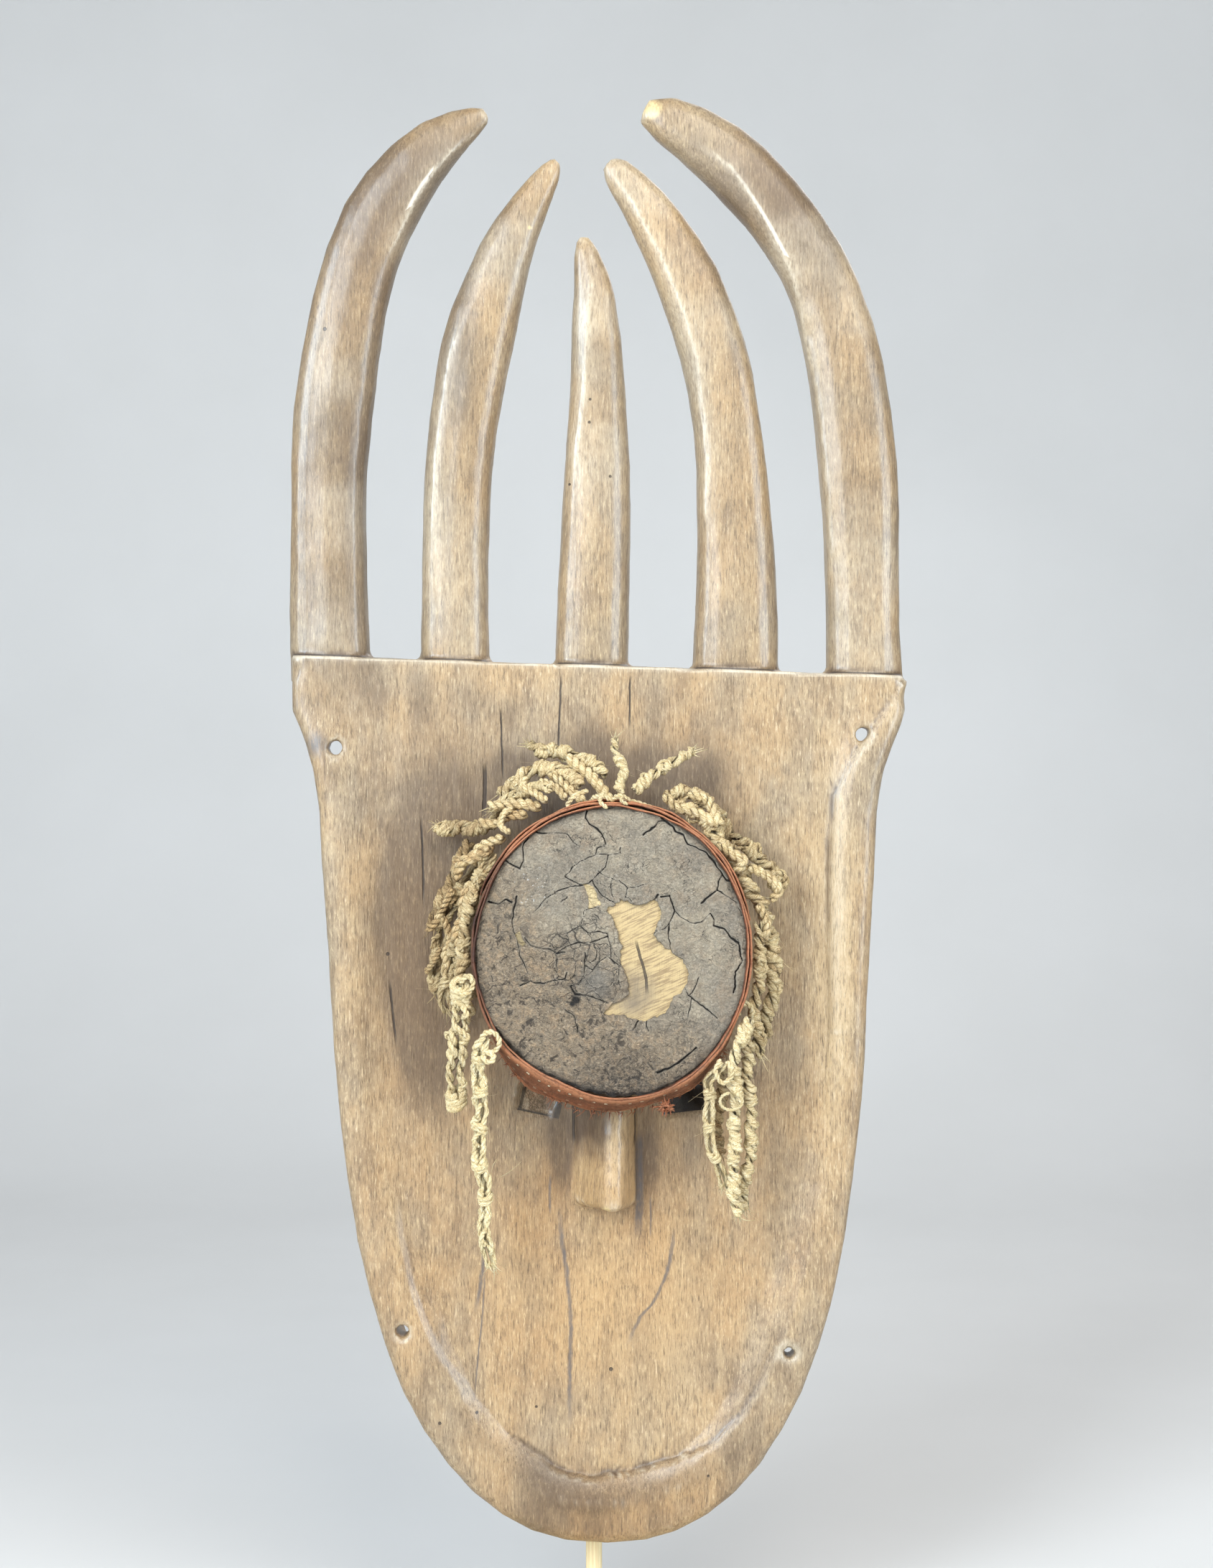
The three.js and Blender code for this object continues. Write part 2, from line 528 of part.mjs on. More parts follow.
// The tie cord is a closed round ring on the boss, behind the leather.
function tieCord() {
  const { sides, steps } = TIE;
  const out = (BOSS.frontY - TIE.y) * BOSS_FLARE + TIE.clear + TIE.radius;
  const ring = new THREE.TorusGeometry(1, 0.001, sides, steps);
  const place = ring.attributes.position;
  for (let i = 0; i < place.count; i++) {
    const turn = (i % (steps + 1)) * ((2 * Math.PI) / steps);
    const around = Math.floor(i / (steps + 1)) * ((2 * Math.PI) / sides);
    const reach = out + TIE.radius * Math.cos(around);
    place.setXYZ(i, BOSS.x + (BOSS.frontRx + reach) * Math.cos(turn),
      TIE.y + TIE.radius * Math.sin(around), BOSS.z + (BOSS.frontRz + reach) * Math.sin(turn));
  }
  return geometryOf(solid(ring));
}

function standRod() {
  const low = FOOT_HEIGHT - SOCKET_DEPTH + GAP;
  const high = CAVITY_TOP_Z - 2 * GAP;
  const rod = new THREE.CylinderGeometry(ROD_RADIUS, ROD_RADIUS, high - low, ROD_SIDES);
  return rod.rotateX(Math.PI / 2).translate(ROD_X, ROD_Y, (low + high) / 2);
}

function standFoot() {
  const frame = (inset, z) => {
    const x = FOOT_WIDTH / 2 - inset;
    const y = FOOT_DEPTH / 2 - inset;
    return [[-x, -y], [x, -y], [x, y], [-x, y]].map(([a, b]) => new THREE.Vector3(a, b, z));
  };
  const block = loft([
    frame(0, 0),
    frame(0, FOOT_HEIGHT - FOOT_BEVEL),
    frame(FOOT_BEVEL, FOOT_HEIGHT),
  ]);
  const bore = ROD_RADIUS + GAP;
  const socket = new THREE.CylinderGeometry(bore, bore, 2 * SOCKET_DEPTH, ROD_SIDES);
  socket.rotateX(Math.PI / 2).translate(ROD_X, ROD_Y, FOOT_HEIGHT);
  return geometryOf(solid(block).subtract(solid(socket)));
}

const FINISHES = {
  wood: new THREE.MeshStandardMaterial({ color: 0x8f765a, roughness: 0.62, metalness: 0 }),
  resin: new THREE.MeshStandardMaterial({ color: 0x5b544b, roughness: 0.88, metalness: 0 }),
  leather: new THREE.MeshStandardMaterial({ color: 0x8a4630, roughness: 0.6, metalness: 0 }),
  bast: new THREE.MeshStandardMaterial({ color: 0xb39a68, roughness: 0.92, metalness: 0 }),
  pine: new THREE.MeshStandardMaterial({ color: 0xd8bd8a, roughness: 0.55, metalness: 0 }),
};

const mask = new THREE.Group();

function place(name, geometry, finish) {
  const mesh = new THREE.Mesh(geometry, finish);
  mesh.name = name;
  mask.add(mesh);
}

place("carved_mask", carvedMask(), FINISHES.wood);
place("resin_crust", resinCrust(), FINISHES.resin);
place("leather_band", leatherBand(), FINISHES.leather);
place("tie_cord", tieCord(), FINISHES.bast);
for (const [name, diameter, points] of CORDS) {
  let tube = cordTube(diameter, points);
  if (name === "left_long_chain") tube = tube.add(cordTube(CHAIN_TAIL.diameter, CHAIN_TAIL.points));
  place(name, geometryOf(tube), FINISHES.bast);
}
place("stand_rod", standRod(), FINISHES.pine);
place("stand_foot", standFoot(), FINISHES.pine);

export default mask;
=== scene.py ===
# A horned face mask of carved wood on a dowel and a block foot, dressed for rendering.
import functools
import math

import bpy
import numpy as np
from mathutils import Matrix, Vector


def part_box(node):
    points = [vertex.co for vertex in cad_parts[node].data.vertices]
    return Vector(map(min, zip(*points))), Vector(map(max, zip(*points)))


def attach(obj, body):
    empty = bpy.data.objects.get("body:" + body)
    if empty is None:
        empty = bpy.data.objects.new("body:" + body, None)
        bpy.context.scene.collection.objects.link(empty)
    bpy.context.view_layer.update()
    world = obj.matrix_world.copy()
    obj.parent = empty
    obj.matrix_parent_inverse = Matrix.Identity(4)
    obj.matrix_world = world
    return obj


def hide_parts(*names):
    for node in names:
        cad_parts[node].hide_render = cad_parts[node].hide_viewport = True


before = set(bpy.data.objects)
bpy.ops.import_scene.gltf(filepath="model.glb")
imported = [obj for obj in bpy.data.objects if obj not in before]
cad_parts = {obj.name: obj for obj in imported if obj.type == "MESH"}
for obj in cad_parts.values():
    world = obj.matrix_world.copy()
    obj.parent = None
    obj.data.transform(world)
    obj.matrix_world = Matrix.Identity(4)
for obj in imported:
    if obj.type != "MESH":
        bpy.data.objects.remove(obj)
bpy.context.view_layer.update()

MM = 0.001
rng = np.random.default_rng(11)

# The camera stands level, in front of the face.
DISTANCE_MM = 1450
CAMERA_AT = (0.0053, -1.45, 0.5528)
VIEW_HEIGHT_MM = 2184 * 0.4387
SENSOR = 24.0
eye = bpy.data.cameras.new("camera")
eye.sensor_fit, eye.sensor_height = "VERTICAL", SENSOR
eye.lens = SENSOR * DISTANCE_MM / VIEW_HEIGHT_MM
camera = bpy.data.objects.new("camera", eye)
camera.location = CAMERA_AT
camera.rotation_euler = (math.radians(90), 0, 0)
bpy.context.collection.objects.link(camera)
bpy.context.scene.camera = camera

# The boss on the forehead, in millimetres: its middle and the half sizes of the crust on it.
BOSS_X, BOSS_Z, BOSS_RX, BOSS_RZ = 8.2, 454.0, 81.0, 86.5

# The board's top edge: its height at x = 0, and how much it falls for each mm to the right.
TOP_Z, TOP_FALL = 625.6, 0.0332

# Each cord of the fringe: node, diameter, make, dirt, knots as shares of its length, and its route.
CORDS = [
    ("fringe_arch_outer", 9, "twist", 0.35, [0.18, 0.46, 0.72], [(-41.8, -22, 577), (-33.2, -25, 572.5),
        (-22.5, -28, 572.3), (-11, -31, 568.5), (-2, -34, 565), (5.4, -39, 558.5)]),
    ("fringe_arch_inner", 9, "twist", 0.35, [0.3, 0.6, 0.88], [(-58, -28, 546), (-47.6, -31, 555.7),
        (-36.8, -33, 561.3), (-26, -35, 561.6), (-16.5, -38, 557.5), (-10.8, -42, 551.5)]),
    ("fringe_rim_left", 6.8, "braid", 0.3, [0.2, 0.55, 0.85], [(-63.5, -36, 537.5), (-53.5, -39, 544),
        (-44, -41, 548.2), (-34.5, -44, 551.4), (-26.5, -48, 550.6)]),
    ("fringe_knotted_end", 9, "twist", 0.5, [0.05, 0.1, 0.42, 0.75], [(-96, -14, 527.7),
        (-90.5, -16, 525.4), (-82.7, -18, 527), (-74, -22, 526), (-65.5, -24.6, 528.6), (-57, -26, 535),
        (-49, -26.5, 541), (-41, -27, 546)]),
    ("fringe_left_outer", 8.5, "twist", 0.85, [0.25, 0.7], [(-76.5, -20, 518), (-83, -18, 506.6),
        (-87, -16, 497.3), (-91.7, -14, 486.5), (-96.5, -12, 476.5), (-101.6, -11, 464.8)]),
    ("fringe_left_second", 9, "chain", 0.6, [0.12, 0.33, 0.52, 0.74, 0.93], [(-64.6, -33, 517),
        (-69.8, -31, 507), (-75.4, -29, 497.5), (-82, -27, 488.8), (-87.7, -25, 480), (-92, -23, 471.4),
        (-93.6, -21, 460), (-95.6, -18, 452.4), (-97, -15, 445), (-99, -13, 436.4), (-96.6, -12, 426)]),
    ("fringe_left_third", 9, "chain", 0.5, [0.16, 0.38, 0.6, 0.82], [(-61.3, -44, 511.9),
        (-67.4, -42.5, 502.3), (-72.6, -41, 490.9), (-76, -39, 480.2), (-80.6, -37, 471),
        (-83.8, -35, 461), (-86, -33, 449), (-89, -31.5, 440.3), (-91, -30, 432.6), (-92, -28, 424.8),
        (-89.3, -27, 416)]),
    ("fringe_left_inner", 7.5, "twist", 0.4, [0.3, 0.72], [(-71.5, -52.5, 493.8), (-75.4, -51.5, 483),
        (-77.9, -50, 472.4), (-79, -48.5, 462.9), (-79.3, -47, 455), (-79, -46, 445)]),
    ("left_doubled_cord", 12, "double", 0.2, [0.06, 0.14, 0.97], [(-80.7, -60, 435.5),
        (-79.6, -56.5, 429.2), (-80, -53, 419), (-81.8, -50, 406.5), (-83.4, -47, 393),
        (-84.6, -45, 380), (-83.8, -43, 363.5)]),
    ("left_long_chain", 9, "chain", 0.0, [0.12, 0.25, 0.41, 0.56, 0.7], [(-64, -69.5, 405),
        (-67.5, -67, 399.5), (-69.5, -62.5, 393), (-69.5, -59, 384), (-68.7, -56, 372),
        (-68.8, -53, 357.7), (-69.5, -50, 343.3), (-69, -48, 328), (-66.8, -46, 313),
        (-66.6, -44.5, 300), (-67.6, -43, 288), (-64.8, -41.5, 276), (-62.6, -40.5, 265.5)]),
    ("top_curl", 6, "twist", 0.15, [0.3, 0.6], [(13.6, -46, 547.2), (13.2, -43.5, 553),
        (16, -41, 560.6), (12.6, -39, 567.2), (10, -37, 572.5), (10.4, -35, 580)]),
    ("top_stub", 7.6, "twist", 0.2, [], [(22, -47, 548.5), (29.2, -42.5, 555.3), (37.8, -38.5, 561.3),
        (45.6, -34.5, 566.3), (57.5, -29, 572.5)]),
    ("fringe_right_outer", 9, "twist", 0.5, [0.08, 0.27, 0.5, 0.72, 0.95], [(40.8, -32, 544.2),
        (47.8, -30.5, 548), (55.6, -29, 548), (63.3, -27.5, 543.8), (69.4, -26.5, 539),
        (73.8, -25.5, 531.3), (80.8, -24.5, 522.2), (90, -23.5, 514.9), (97, -22.5, 508.9),
        (104, -21.5, 500.7), (110.5, -20, 493)]),
    ("fringe_right_inner", 9.5, "twist", 0.4, [0.14, 0.25, 0.42, 0.62, 0.8], [(46.4, -44.5, 539.2),
        (53.2, -44.5, 538.3), (60, -44.5, 533.2), (66.8, -44, 527.3), (72, -43.5, 519.7),
        (78, -42.5, 511.7), (84, -41.5, 504.3), (88.4, -40.5, 495.8), (92.7, -39.5, 487.3),
        (98, -38, 478.8), (101.4, -36.5, 470.2), (103.2, -34.5, 461.5), (104.2, -33, 451),
        (106, -31, 439.5), (105.3, -29, 427.3), (102, -27.5, 414.3), (100.3, -26.5, 401.4)]),
    ("fringe_right_second", 8, "twist", 0.4, [0.35, 0.68], [(94.8, -51, 471.5), (95.8, -49.5, 462.5),
        (96, -48, 453.6), (95.5, -46.5, 445), (95.7, -45, 436.3), (94, -44, 426), (93.2, -43, 417.6),
        (94.5, -42, 406.3), (96.8, -41, 390.5)]),
    ("right_strand_left", 7.5, "chain", 0.15, [0.3, 0.55, 0.75], [(74.1, -61, 389.3),
        (69.8, -58.5, 383.8), (65.3, -55.5, 378), (66.4, -52.5, 368), (65.7, -50, 357),
        (66.2, -48, 346), (67.7, -46, 335.4), (72.6, -43, 325), (75.3, -39.5, 312.5)]),
    ("right_strand_back", 7, "twist", 0.7, [0.4], [(73, -43.5, 383.6), (74, -41.5, 371),
        (72, -39.5, 357.8), (71.3, -37.5, 347.3), (73.7, -33, 332)]),
    ("right_strand_middle", 8, "twist", 0.15, [0.1, 0.28, 0.55, 0.72], [(89.5, -63, 415.6),
        (86, -61.5, 407.5), (82, -59.5, 397.7), (79.7, -57, 386.9), (81.2, -54.5, 376),
        (81.8, -52.5, 365), (80.6, -50.5, 354.2), (81.2, -48.5, 341.2), (80, -47, 329),
        (81.4, -46, 317.3), (80.6, -45, 307.3), (84.2, -44, 297)]),
    ("right_strand_right", 8, "twist", 0.25, [0.05, 0.42, 0.62, 0.8], [(89.3, -50, 414.1),
        (88, -49, 405), (89, -48, 392.7), (88.7, -46.8, 381.7), (89.4, -45.4, 370.7),
        (91.3, -43.6, 359), (91, -42, 347.8), (91.6, -40, 338), (90.5, -38, 328), (88.5, -36.5, 318.6),
        (86.9, -35, 310.2), (88, -34, 299.3)]),
]

# More yarn among the cords: its diameter, dirt and points.
LOOSE_YARN = [
    (7, 0.35, [(7, -47, 542.7), (2.2, -43.5, 550), (-3.9, -40, 557.3), (-11.3, -36.5, 563.4),
        (-17.5, -33, 568.4)]),
    (6, 0.45, [(-8.2, -48, 542.7), (-14.8, -45.3, 547.6), (-21.4, -42.7, 553.7), (-27.8, -40, 559)]),
    (6.5, 0.5, [(-34.2, -46, 539.1), (-44, -43.3, 541), (-55.1, -40.7, 540.3), (-64.5, -38, 540)]),
    (6, 0.6, [(-42.8, -45, 534.7), (-52.1, -42, 533.7), (-61.3, -39, 529.3), (-70, -36, 529.7)]),
    (5, 0.4, [(-30, -50, 542.8), (-37.4, -47.3, 547.6), (-44.7, -44.7, 551.2), (-42.9, -42, 556.6)]),
    (5, 0.4, [(-18.9, -50, 544.4), (-25.2, -47, 551.2), (-33.6, -44, 554.9)]),
    (4, 0.3, [(-51.7, -52, 524.2), (-57.1, -49.3, 528.2), (-55.3, -46.7, 535.5), (-50.6, -44, 537.9)]),
    (6.5, 0.5, [(-56, -48, 520.9), (-63.4, -45.3, 518.4), (-70.1, -42.7, 514.7), (-75.1, -40, 506.1)]),
    (7, 0.45, [(39.8, -46, 545.9), (47.1, -46.7, 539.1), (58, -47.3, 536.2), (68.4, -48, 529.9)]),
    (6.5, 0.4, [(54.4, -44, 547.6), (63.6, -45.3, 544.4), (68.2, -46.7, 537.2), (71.7, -48, 528.9)]),
    (6.5, 0.4, [(71.1, -51, 517.4), (78.9, -50.3, 512), (86.2, -49.7, 507.2), (81.4, -49, 501.3)]),
    (6, 0.45, [(89.8, -46, 503.9), (101.9, -43.3, 497.2), (107.7, -40.7, 489.8), (103.5, -38, 484.1)]),
    (6, 0.5, [(95, -48, 480.9), (100, -46, 471.1), (98.2, -44, 461.3)]),
    (7, 0.65, [(-64, -48, 514.9), (-70, -44, 510.4), (-79.5, -40, 506.8), (-84.6, -36, 497.4)]),
    (7, 0.6, [(-68.7, -50, 495.6), (-76.6, -48.7, 490.7), (-79.5, -47.3, 480.9), (-76.7, -46, 471.1)]),
    (5, 0.8, [(-86.7, -34, 490), (-91.8, -30.7, 480), (-97, -27.3, 470), (-101.7, -24, 464.9)]),
    (6, 0.7, [(-75.3, -50, 478.6), (-81.4, -48, 471.2), (-84, -46, 461.4), (-79.3, -44, 455.2)]),
    (4, 0.7, [(-103.6, -18, 439.3), (-98.4, -22, 446.3), (-94.6, -26, 454)]),
    (7, 0.6, [(-76.1, -48, 451.8), (-81.6, -45.3, 441.9), (-79.3, -42.7, 432), (-74.1, -40, 426.4)]),
    (5, 0.6, [(-92, -36, 473), (-87.7, -34.7, 460.7), (-91.2, -33.3, 450.8), (-87.3, -32, 440.9)]),
]

# Small loops and ends tied over the leather: points, diameter, seed and dirt.
KNOTTED_YARN = [
    ([(-64, -67, 397), (-60, -69.5, 393.5), (-63.5, -70, 391), (-67, -66, 394)], 3.6, 22, 0.0),
    ([(72, -60, 391), (69, -63, 385), (73, -64, 378), (79, -62, 383), (76, -59, 390)], 3.2, 24, 0.1),
    ([(-3, -58, 544.5), (2, -63, 546), (8, -61, 543.6), (13, -64.5, 546.2), (19, -60, 543)], 3.0, 25, 0.1),
    ([(4, -61, 548), (1.5, -65.5, 543), (5.5, -66.3, 538.8)], 2.6, 26, 0.1),
    ([(15, -60, 548.5), (14, -66, 543.4), (17.5, -66.5, 541)], 2.4, 27, 0.1),
    ([(-18, -60, 540), (-14, -62, 545.5), (-6, -60, 549)], 3.2, 28, 0.2),
    ([(-80, -62, 437), (-75.5, -65, 441), (-72.5, -63, 435.5), (-77, -64, 430), (-83, -61, 432)],
        3.6, 31, 0.15),
]

# Round loops of yarn: middle, half sizes, lean, first and last angle; then diameter, seed and dirt.
YARN_LOOPS = [
    ((-62.5, -69, 402.5, 5.4, 6.2, 2.0, -60, 290), 3.4, 21, 0.0),
    ((78.3, -60, 366.9, 6.6, 5.2, 1.5, 100, 420), 2.0, 23, 0.0),
    ((108.5, -21, 494.5, 4.6, 5.4, 2, -80, 250), 5.0, 29, 0.45),
    ((87, -48, 418, 4.2, 5.5, 3, -100, 200), 3.8, 30, 0.1),
]

# Long single fibres: where each starts, its way, length and bend.
LONG_FIBRES = [
    ((101, -34, 452), (1, -0.2, -0.35), 15, (0.1, 0, -0.4)),
    ((-60, -42, 330), (-0.6, -0.4, -0.7), 16, (0.5, 0, -0.3)),
    ((-58, -45, 320), (0.8, -0.3, 0.3), 12, (0.2, 0, 0.5)),
    ((98, -40, 486), (1, 0, -0.5), 10, (0.2, 0, 0.6)),
]

# Cracks in the crust: width, and the points x, z along each.
CRACKS = [
    (1, [(-6.9, 540.5), (-6.3, 536.7), (-7.2, 533), (-5.1, 529.2), (0, 526.7), (3.1, 522.9),
    (5, 517.3)]), (0.5, [(5, 517.3), (0, 515.4), (-1, 511.6), (6.2, 511.6), (5.6, 507.2), (4, 503.5),
    (0, 500.3), (-3.5, 496.6)]), (0.4, [(6.2, 511.6), (13.1, 512.2), (13.8, 516)]), (0.6,
    [(-3.5, 496.6), (-5.1, 494.7), (-8.2, 493.7), (-13.8, 495.9), (-18.9, 498.4), (-15.1, 503.5),
    (-10.1, 507.9), (-5.1, 509.7), (-1, 511.6)]), (0.5, [(-8.2, 493.7), (-12.6, 493.4), (-18.9, 491.9),
    (-23.9, 489.6), (-30.2, 485.9), (-36.4, 478.4)]), (0.9, [(40.8, 531.1), (35.7, 530.8),
    (32.6, 527.3), (26.3, 522.9)]), (1.6, [(37.6, 533), (43.3, 528.6), (45.8, 525.4), (50.2, 522.9)]),
    (1, [(50.2, 522.9), (52.7, 517.9), (57.7, 516), (64, 512.2), (68.4, 507.2), (72.1, 500.9),
    (75.3, 497.2), (79, 495.3)]), (0.9, [(73.4, 499.4), (70.3, 494.7), (70.3, 490.9), (65.2, 487.1),
    (60.8, 483.4)]), (0.6, [(70.3, 490.9), (75.9, 487.1), (81.6, 483.4), (84.1, 475.8)]), (1.1,
    [(65.9, 477.1), (68.4, 473.3), (67.7, 470.2), (74, 468.3), (77.8, 463.3), (82.2, 460.2),
    (83.4, 454.5), (84.3, 449.5)]), (0.5, [(56.5, 471.4), (61.5, 472.7), (65.9, 477.1)]), (0.7,
    [(35.7, 488.4), (32.6, 484.9), (30.1, 480.9), (31.3, 475.8), (34.5, 470.8), (34.5, 467.1),
    (30.1, 463.9), (33.2, 460.2), (34.5, 455.8), (38.9, 453.2), (43.3, 452), (46.4, 447), (48.3, 440.7),
    (51.4, 433.2), (52.9, 429.4)]), (0.9, [(37, 487.1), (42, 487.8), (43.9, 483.4), (45.2, 478.4),
    (42, 472.1), (41.4, 465.8), (42.6, 457), (43.3, 452)]), (0.5, [(35.1, 467.1), (38.9, 468.3),
    (42, 472.1)]), (0.4, [(36.4, 479.6), (35.7, 473.3), (37, 468.3)]), (0.6, [(-3.5, 496.6), (0, 490.9),
    (3.7, 487.1), (7.5, 484.6), (11.3, 483.4)]), (0.5, [(0, 502.2), (6.2, 498.4), (12.5, 496.6),
    (17.5, 492.2), (23.8, 492.8), (28.8, 494.7)]), (0.35, [(10, 499.7), (7.5, 493.4), (8.8, 487.1)]),
    (0.35, [(17.5, 492.2), (16.3, 487.1), (20.1, 484.6)]), (1, [(-37.7, 524.8), (-42.7, 518.5),
    (-44, 516), (-43.3, 507.2), (-45.2, 503.5), (-50.2, 505.3), (-53.4, 507.9)]), (1, [(-36.4, 532.3),
    (-37.7, 524.8), (-33.3, 524.2), (-26.4, 524.2)]), (0.4, [(-26.4, 524.2), (-17.6, 523.5),
    (-15.1, 519.8), (-10.1, 516)]), (1.1, [(-64, 484), (-57.8, 482.7), (-53.4, 485.3), (-50.2, 484)]),
    (0.8, [(-47.1, 487.1), (-49, 479.6), (-49.6, 473.3), (-49, 467.1)]), (0.5, [(-49, 467.1),
    (-46.5, 460.8), (-45.2, 453.2), (-42.1, 445.7), (-40.8, 442.6)]), (0.6, [(-42.7, 463.3),
    (-38.9, 458.9), (-33.9, 457), (-27.6, 456.4), (-23.9, 453.9), (-18.9, 454.5)]), (0.5,
    [(-23.9, 450.7), (-23.9, 443.2), (-24.5, 439.4)]), (0.8, [(-17.6, 443.2), (-18.9, 439.2),
    (-26.4, 438.2), (-33.9, 436.3), (-38.9, 437.6), (-45.2, 435)]), (2.2, [(-15.7, 435), (-13.2, 430),
    (-10.1, 430)]), (1.1, [(-10.1, 430), (-2.5, 428.5), (6.2, 425.4)]), (0.8, [(-10.1, 470.2),
    (-5.1, 465.8), (1.2, 467.1), (6.2, 465.2)]), (0.8, [(-23.9, 453.9), (-17.6, 458.3), (-12.6, 460.2),
    (-3.8, 460.2), (0, 462), (5.6, 463.9)]), (0.6, [(-6.9, 454.5), (-7.6, 447), (-8.2, 440.7),
    (-10.7, 435.7), (-15.7, 435)]), (0.5, [(-7.6, 447), (-2.5, 444.5), (1.2, 449.5), (6.2, 452),
    (10, 448.2)]), (0.5, [(-2.5, 459.5), (0, 455.8), (-1.3, 450.7), (-5.1, 448.2)]), (0.5,
    [(6.2, 465.2), (7.5, 458.3), (8.1, 450.7), (13.1, 447), (11.9, 440.7), (13.1, 434.4)]), (0.6,
    [(-7.6, 479), (-5.1, 479.6), (0, 481.5)]), (0.5, [(-17.6, 465.8), (-10.1, 470.2), (-8.2, 474.6),
    (-7.6, 479)]), (0.7, [(-18.9, 421.2), (-13.8, 417.5), (-12, 411.8), (-11.6, 408.1)]), (0.8,
    [(23.8, 414.6), (21.9, 411.2), (20.1, 409.3)]), (0.5, [(28.8, 416.8), (28.6, 413.1),
    (29.8, 408.7)]), (0.8, [(52.9, 429.4), (57.7, 426.3), (64, 421.2), (69.6, 416.2)]), (0.7,
    [(59, 439.4), (56.5, 433.2), (53.9, 429.4)]), (0.35, [(55.2, 428.1), (52.7, 416.8)]), (0.6,
    [(41.4, 425.6), (38.9, 421.9), (30.1, 418.1), (23.8, 414.3)]), (1.8, [(35.1, 384.2), (40.1, 386.1),
    (46.4, 389.2), (51.4, 393.6), (57.7, 398.6)]), (1.2, [(84.3, 448.2), (80.3, 443.2), (80.9, 436.9),
    (79.7, 430.7)]), (0.4, [(-17.6, 487.1), (-21.4, 483.4)]), (0.4, [(45.2, 478.4), (51.4, 473.3),
    (56.5, 471.4)]),
]

# Dents in the crust: x, z, radius and depth.
CRUST_DENTS = [(-22, 462, 6, 0.9), (-23, 443, 3, 2.4), (-15, 440, 3, 1.6), (-60, 430, 9, 0.5),
    (-13, 426, 3, 2.0)]

# The patch where the crust has flaked off, and two small flakes: x and z.
BARE_PATCH = [(10, 470), (6, 479), (14, 486), (24, 481), (34, 486), (38, 474), (33, 466), (39, 457),
    (50, 450), (54, 438), (46, 430), (40, 419), (27, 413), (16, 418), (3, 417), (9, 425), (19, 430),
    (17, 441), (12, 449), (15, 459)]
SMALL_FLAKES = [
    [(-9, 494), (-5, 494), (0, 489), (3.5, 482.5), (0, 481), (-5, 480.5), (-4.5, 487)],
    [(-47.5, 465), (-45, 467.5), (-41, 460), (-43, 457.5), (-46, 460.5)],
]

# The foot of the raised rim on the face plate: x, z and how sharp it is there.
RIM_FOOT = [(-120, 330, 0), (-120.4, 300, 0.2), (-119.5, 279.5, 0.7), (-113, 251, 0.8),
    (-103, 222.5, 1), (-94.3, 204, 0.7), (-73.9, 180.2, 0.5), (-53.7, 156.8, 0.8), (-34, 141.8, 1.2),
    (-20.4, 133.6, 1.7), (-3.7, 130.4, 2), (19.5, 134.1, 2), (47.2, 141.8, 1.8), (66.5, 150.5, 1.4),
    (86.6, 170.7, 1.2), (102, 197.5, 1.2), (111.2, 219, 1.1), (122.2, 252.3, 0.8), (128.3, 277.3, 0.5),
    (132.7, 312.4, 0.4), (137.5, 356.3, 0.6), (140.6, 404.5, 1), (140.6, 461.6, 1.3),
    (140.6, 505.4, 1.3), (143.7, 546.2, 1.2), (152.4, 566.9, 1), (167.8, 588.8, 1), (183.2, 610.7, 1)]

# The crests along the horns' fronts, from each tip down: x and z.
HORN_CRESTS = [
    [(-76.6, 951.6), (-90.2, 940.2), (-102.9, 925.3), (-112.1, 911.3), (-122.6, 889.3), (-131, 870.9)],
    [(-83.6, 838.4), (-90.2, 813.4), (-93.7, 790.2), (-98.5, 755.5), (-100.7, 720.9), (-102, 674.8)],
    [(-0.2, 877.9), (-5.9, 845.4), (-7.2, 813.4), (-8.6, 790.2), (-12.9, 755.5), (-16.5, 697.6)],
    [(15.1, 921.8), (25.7, 901.2), (39.3, 875.7), (53.3, 841.1), (61.2, 813.4), (64.7, 783.2),
        (67.8, 753.3), (67.3, 720.9), (68.2, 697.6)],
    [(60.2, 944.8), (81, 928.6), (94.8, 910.2), (108.7, 887.1), (120.2, 864), (126, 840.9),
        (130.6, 817.9), (135.2, 794.8), (138.7, 767), (142.2, 732.4), (144.5, 697.8), (142.2, 674.7)],
]

# Cracks in the wood: points x, z, width, and how soft and how wavy the edge is.
WOOD_CRACKS = [
    ([(-22.2, 622), (-23, 602), (-24.8, 566)], 0.35),
    ([(-69.3, 566), (-69.1, 550), (-70, 530)], 1.6, 0.6),
    ([(-59.4, 601), (-58.6, 575), (-57.8, 553)], 0.25),
    ([(-108.1, 534), (-106.9, 505), (-106.4, 476)], 0.35),
    ([(-127.4, 434), (-125.5, 415), (-122.8, 392)], 0.6),
    ([(20, 621), (19.6, 604), (19.3, 584)], 0.3),
    ([(-14.8, 362), (-14.6, 345), (-14.7, 332)], 1.0),
    ([(22.4, 360), (22.8, 346), (22.2, 332)], 0.5),
]
PATCH_CRACK = ([(22.2, 463), (25, 452), (27.4, 444), (28.6, 436), (29, 428)], 0.8, 0.5)

